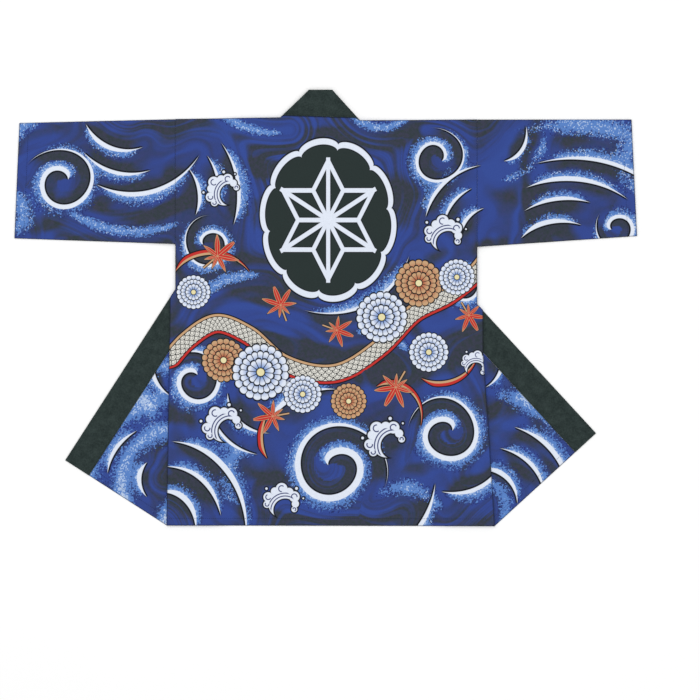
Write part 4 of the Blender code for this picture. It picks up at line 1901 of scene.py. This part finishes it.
@dataclass
class FrontPanel(Part):
    """A front: its upper part lies under the back panel, and the rest is turned out under it."""

    front: FrontLines
    design: PrintDesign
    flat: tuple[float, float]
    area: float
    rows: int = 256
    upper_columns: int = 26
    lower_columns: int = 54
    hem_depth: float = 0.016
    hem_fade: float = 6.0  # rows over which the hem gets thick
    stitch_line: float = 0.0145  # from the hem

    def build(self) -> None:
        """Makes the front and its hem's stitches."""
        front, side, stack = self.front, self.front.side, self.laid.stack
        foot, elbow, head = front.sewn_edge(BAND_WIDTH + GAP / 2)
        corner = front.hem_corner
        armpit, shoulder = side.seam(-GAP / 2)
        fold = spread([corner, head], self.rows)
        upper = patch(
            np.tile(np.array(corner), (self.upper_columns + 1, 1)),
            spread([shoulder, side.neck, head], self.upper_columns),
            spread([*side.edge[::-1], armpit, shoulder], self.rows), fold,
        )
        lower = patch(
            spread([corner, foot], self.lower_columns), np.tile(np.array(head), (self.lower_columns + 1, 1)), fold,
            spread([foot, elbow, head], self.rows),
        )
        parts = [
            self.laid.put(upper, stack.middle, TRIM),
            self.laid.front_fold(fold, front.outward, CLOTH_WALL),
            self.laid.put(lower, stack.surface, CLOTH_WALL - TRIM),
        ]
        spots = np.concatenate(parts, axis=1)
        below = np.zeros(spots.shape[:2], dtype=bool)
        below[:, self.upper_columns + BEND_STEPS :] = True
        hem = [corner, foot]
        rise = hem_share(spots.reshape(-1, 3)[:, :2], hem, self.hem_depth).reshape(below.shape)
        spots[..., 2] += HEM_RISE * rise * below * smooth(np.arange(spots.shape[0]) / self.hem_fade)[:, None]
        shell = Shell(f"front_{side.name}", CLOTH, spots, np.where(below, 0, 1), side.out < 0)
        piece = shell.finish(self.material, self.design, [hem])
        seam = Stitches(f"hem_stitches_{side.name}", self.laid, stack.surface, CLOTH_WALL - TRIM + HEM_RISE)
        line = [front.sewn_edge(BAND_WIDTH)[0], corner]
        seam = seam.build([beside(line, -side.out * self.stitch_line)], self.thread)


@dataclass
class Sleeve(Part):
    """A sleeve: a flat tube, open at the cuff and the armhole."""

    front: FrontLines
    design: PrintDesign
    columns: int = 92
    upper_rows: int = 72
    lower_rows: int = 40
    hem_depth: float = 0.020
    stitch_line: float = 0.0185  # from the cuff's edge

    def build(self) -> None:
        """Makes the sleeve and its cuff's stitches."""
        side, stack = self.front.side, self.laid.stack
        armpit, shoulder = side.seam(GAP / 2)
        share = np.linspace(0, 1, self.columns + 1)[:, None]
        foot = np.array(side.cuff_foot) * (1 - share) + np.array(armpit) * share
        top = np.array(side.cuff_top) * (1 - share) + np.array(shoulder) * share
        up = (top - foot) / np.linalg.norm(top - foot, axis=1)[:, None]
        room = CLOTH_WALL + GAP / 2
        low_end, high_end = foot + up * room, top - up * room
        rows = []
        for step in np.linspace(0, 1, self.upper_rows + 1):
            rows.append(self.laid.put(low_end * (1 - step) + high_end * step, stack.top, CLOTH_WALL - TRIM))
        rows += self.bend(high_end, up * (room - TRIM))
        for step in np.linspace(1, 0, self.lower_rows + 1):
            rows.append(self.laid.put(low_end * (1 - step) + high_end * step, stack.middle, TRIM))
        rows += self.bend(low_end, -up * (room - TRIM))[::-1]
        rows.append(rows[0].copy())
        spots = np.stack(rows, axis=0)
        cuff, seen = [side.cuff_foot, side.cuff_top], slice(self.upper_rows + 1)
        fold = hem_share(spots.reshape(-1, 3)[:, :2], cuff, self.hem_depth).reshape(spots.shape[:2])
        spots[seen, :, 2] += HEM_RISE * fold[seen]
        spots[-1] = spots[0]
        island = np.ones(spots.shape[:2], dtype=int)
        island[seen] = 0
        shell = Shell(f"sleeve_{side.name}", CLOTH, spots, island, side.out > 0)
        piece = shell.finish(self.material, self.design, [[side.armpit, side.cuff_foot, side.cuff_top, side.shoulder]])
        seam = Stitches(f"cuff_stitches_{side.name}", self.laid, stack.top, CLOTH_WALL - TRIM + HEM_RISE)
        seam = seam.build([beside(cuff, side.out * self.stitch_line)], self.thread)

    def bend(self, end: Array, way: Array) -> list[Array]:
        """The round bend along the sleeve's top or foot: rows from the upper layer down, without its two ends."""
        stack = self.laid.stack
        return self.laid.round_fold(end, way, stack.top(end) + CLOTH_WALL - TRIM, stack.middle(end) + TRIM)


@dataclass
class CollarBand(Part):
    """The collar band down one front: turned under with it, and up to the neck."""

    front: FrontLines
    columns: int = 16
    lower_rows: int = 210
    row_height: float = 0.004  # above the fold line
    stitch_line: float = 0.0025  # from the sewn edge

    def build(self) -> None:
        """Makes the band and its stitches."""
        front, side, stack = self.front, self.front.side, self.laid.stack
        foot, elbow, head = front.sewn_edge(BAND_WIDTH - GAP / 2)
        inset = Vector((-side.out * GAP, 0))
        collar_top, neck = Vector(side.collar_top) + inset, Vector(side.neck) + inset
        fold = spread([head, front.fold_top], self.columns)
        lower = patch(
            spread([foot, front.corner], self.columns), fold, spread([foot, elbow, head], self.lower_rows),
            spread([front.corner, front.start, front.fold_top], self.lower_rows),
        )
        rise = max((neck - head).length, (collar_top - front.fold_top).length)
        upper_rows = max(3, round(rise / self.row_height))
        upper = patch(
            fold, spread([neck, collar_top], self.columns), spread([head, neck], upper_rows),
            spread([front.fold_top, collar_top], upper_rows),
        )
        parts = [
            self.laid.put(lower, stack.surface, BAND_WALL - TRIM),
            self.laid.front_fold(fold, front.outward, BAND_WALL).transpose(1, 0, 2)[::-1],
            self.laid.put(upper, stack.middle, TRIM),
        ]
        spots = np.concatenate(parts, axis=0)
        island = np.ones(spots.shape[:2], dtype=int)
        island[: self.lower_rows + 1] = 0
        piece = Shell(f"collar_{side.name}", BAND, spots, island, side.out < 0).finish(self.material)
        foot, elbow, head = front.sewn_edge(BAND_WIDTH)
        seam = Stitches(f"collar_stitches_{side.name}", self.laid, stack.surface, BAND_WALL - TRIM)
        lines = [beside(line, -self.stitch_line * side.out) for line in ([foot, elbow], [elbow, head])]
        seam = seam.build(lines, self.thread)


@dataclass
class CollarNeck(Part):
    """The collar band behind the neck, between its two mitre folds."""

    columns: int = 40
    rows: int = 16
    stitch_line: float = 0.0035  # from the sewn edge

    def build(self) -> None:
        """Makes the band and its stitches."""
        left, right = (front.side for front in self.laid.fronts)
        stack = self.laid.stack
        seam_line = [(left.neck_seam[0], left.neck_seam[1] + GAP), (right.neck_seam[0], right.neck_seam[1] + GAP)]
        top = [left.collar_top, right.collar_top]
        flat = patch(
            spread(seam_line, self.columns), spread(top, self.columns), spread([seam_line[0], top[0]], self.rows),
            spread([seam_line[1], top[1]], self.rows),
        )
        spots = self.laid.put(flat, stack.top, BAND_WALL - TRIM)
        piece = Shell("collar_neck", BAND, spots, np.zeros(flat.shape[:2], dtype=int)).finish(self.material)
        seam = Stitches("collar_stitches_neck", self.laid, stack.top, BAND_WALL - TRIM)
        seam = seam.build([beside([left.neck_seam, right.neck_seam], self.stitch_line)], self.thread)


# --- The studio ---


@dataclass
class Studio:
    """A pale floor, soft light and a camera that looks straight down."""

    look_at: tuple[float, float] = (0.0486, -0.0836)
    width: float = 1.400  # of what the camera sees
    height: float = 4.0  # of the camera
    sensor: float = 36.0
    floor_half: float = 4.0
    light: float = 0.78  # of the even light
    lamp_side: float = 2.6
    lamps: tuple[tuple[tuple[float, float, float], float], ...] = (((-1.3, 1.6, 3.0), 34.0), ((1.6, -1.2, 3.2), 18.0))

    def build(self) -> None:
        """Makes the floor, the light and the camera."""
        mesh = bmesh.new()
        bmesh.ops.create_grid(mesh, x_segments=8, y_segments=8, size=self.floor_half)
        floor = mesh_piece("floor", mesh)
        floor.data.materials.append(self.paper())
        self.world()
        for place, power in self.lamps:
            self.lamp(place, power)
        self.camera()

    def paper(self) -> Material:
        """The floor's pale finish.

        Returns:
            The material.
        """
        material = bpy.data.materials.new("pale_floor")
        material.use_nodes = True
        graph = Graph(material.node_tree)
        place, _, _ = graph.place()
        colour = graph.mix(graph.noise(place, 3.0), (0.975, 0.975, 0.975, 1.0), (0.985, 0.985, 0.985, 1.0))
        graph.surface({"Base Color": colour, "Roughness": 0.95, "Specular IOR Level": 0.0})
        return material

    def world(self) -> None:
        """Even light from all round."""
        world = bpy.data.worlds.new("studio")
        world.use_nodes = True
        background = world.node_tree.nodes["Background"]
        background.inputs["Color"].default_value = (1.0, 1.0, 1.0, 1.0)
        background.inputs["Strength"].default_value = self.light
        bpy.context.scene.world = world
        bpy.context.scene.view_settings.view_transform = "Standard"

    def lamp(self, place: tuple[float, float, float], power: float) -> None:
        """A square soft lamp that points at the coat.

        Args:
            place: Where it hangs.
            power: Its power in watts.
        """
        light = bpy.data.lights.new("soft_box", "AREA")
        light.shape = "SQUARE"
        light.size = self.lamp_side
        light.energy = power
        lamp = into_scene("soft_box", light)
        lamp.location = place
        lamp.rotation_euler = (-Vector(place)).to_track_quat("-Z", "Y").to_euler()

    def camera(self) -> None:
        """A long lens over the coat."""
        data = bpy.data.cameras.new("camera")
        data.sensor_width = self.sensor
        data.lens = self.sensor * self.height / self.width
        data.clip_start, data.clip_end = 0.1, 50.0
        camera = into_scene("camera", data)
        camera.location = (*self.look_at, self.height)
        bpy.context.scene.camera = camera


def main() -> None:
    """Builds the coat and its studio."""
    logging.basicConfig(level=logging.INFO, format="%(name)s: %(message)s")
    fronts = (FrontLines(LEFT), FrontLines(RIGHT))
    laid = LaidCloth(fronts, Stack(fronts))
    Studio().build()

    groups, cloth = PrintGroups(PrintColours(), Medallion()), ClothGroups()
    back_cotton = PrintedCotton(name="printed_cotton_back", cloth=cloth, groups=groups, motifs=True).build()
    cotton = PrintedCotton(name="printed_cotton_plain", cloth=cloth, groups=groups).build()
    dye, worn = shade_of(34, 44, 43), shade_of(58, 70, 68)
    collar = PlainCotton(name="collar_cotton_dressed", cloth=cloth, dye=dye, light=worn).build()
    thread, dark_thread = (
        PlainCotton(name=name, cloth=cloth, dye=dye, light=light, threads=THREAD_WEAVE, roughness=0.7).build()
        for name, dye, light in (
            ("blue_thread", shade_of(24, 30, 62), shade_of(44, 54, 96)),
            ("dark_thread", shade_of(20, 26, 26), shade_of(52, 60, 58)),
        )
    )

    BackPanel(laid, back_cotton, thread, BODY_PRINT).build()
    for front, design, flat, area in (
        (fronts[0], LEFT_PRINT, (0.45, 0.86), 0.163),
        (fronts[1], RIGHT_PRINT, (0.45, 0.82), 0.180),
    ):
        FrontPanel(laid, cotton, thread, front, design, flat, area).build()
        Sleeve(laid, cotton, thread, front, BODY_PRINT).build()
        CollarBand(laid, collar, dark_thread, front).build()
        log.info("%s side done", front.side.name)
    CollarNeck(laid, collar, dark_thread).build()

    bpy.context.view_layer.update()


if __name__ == "__main__":
    main()
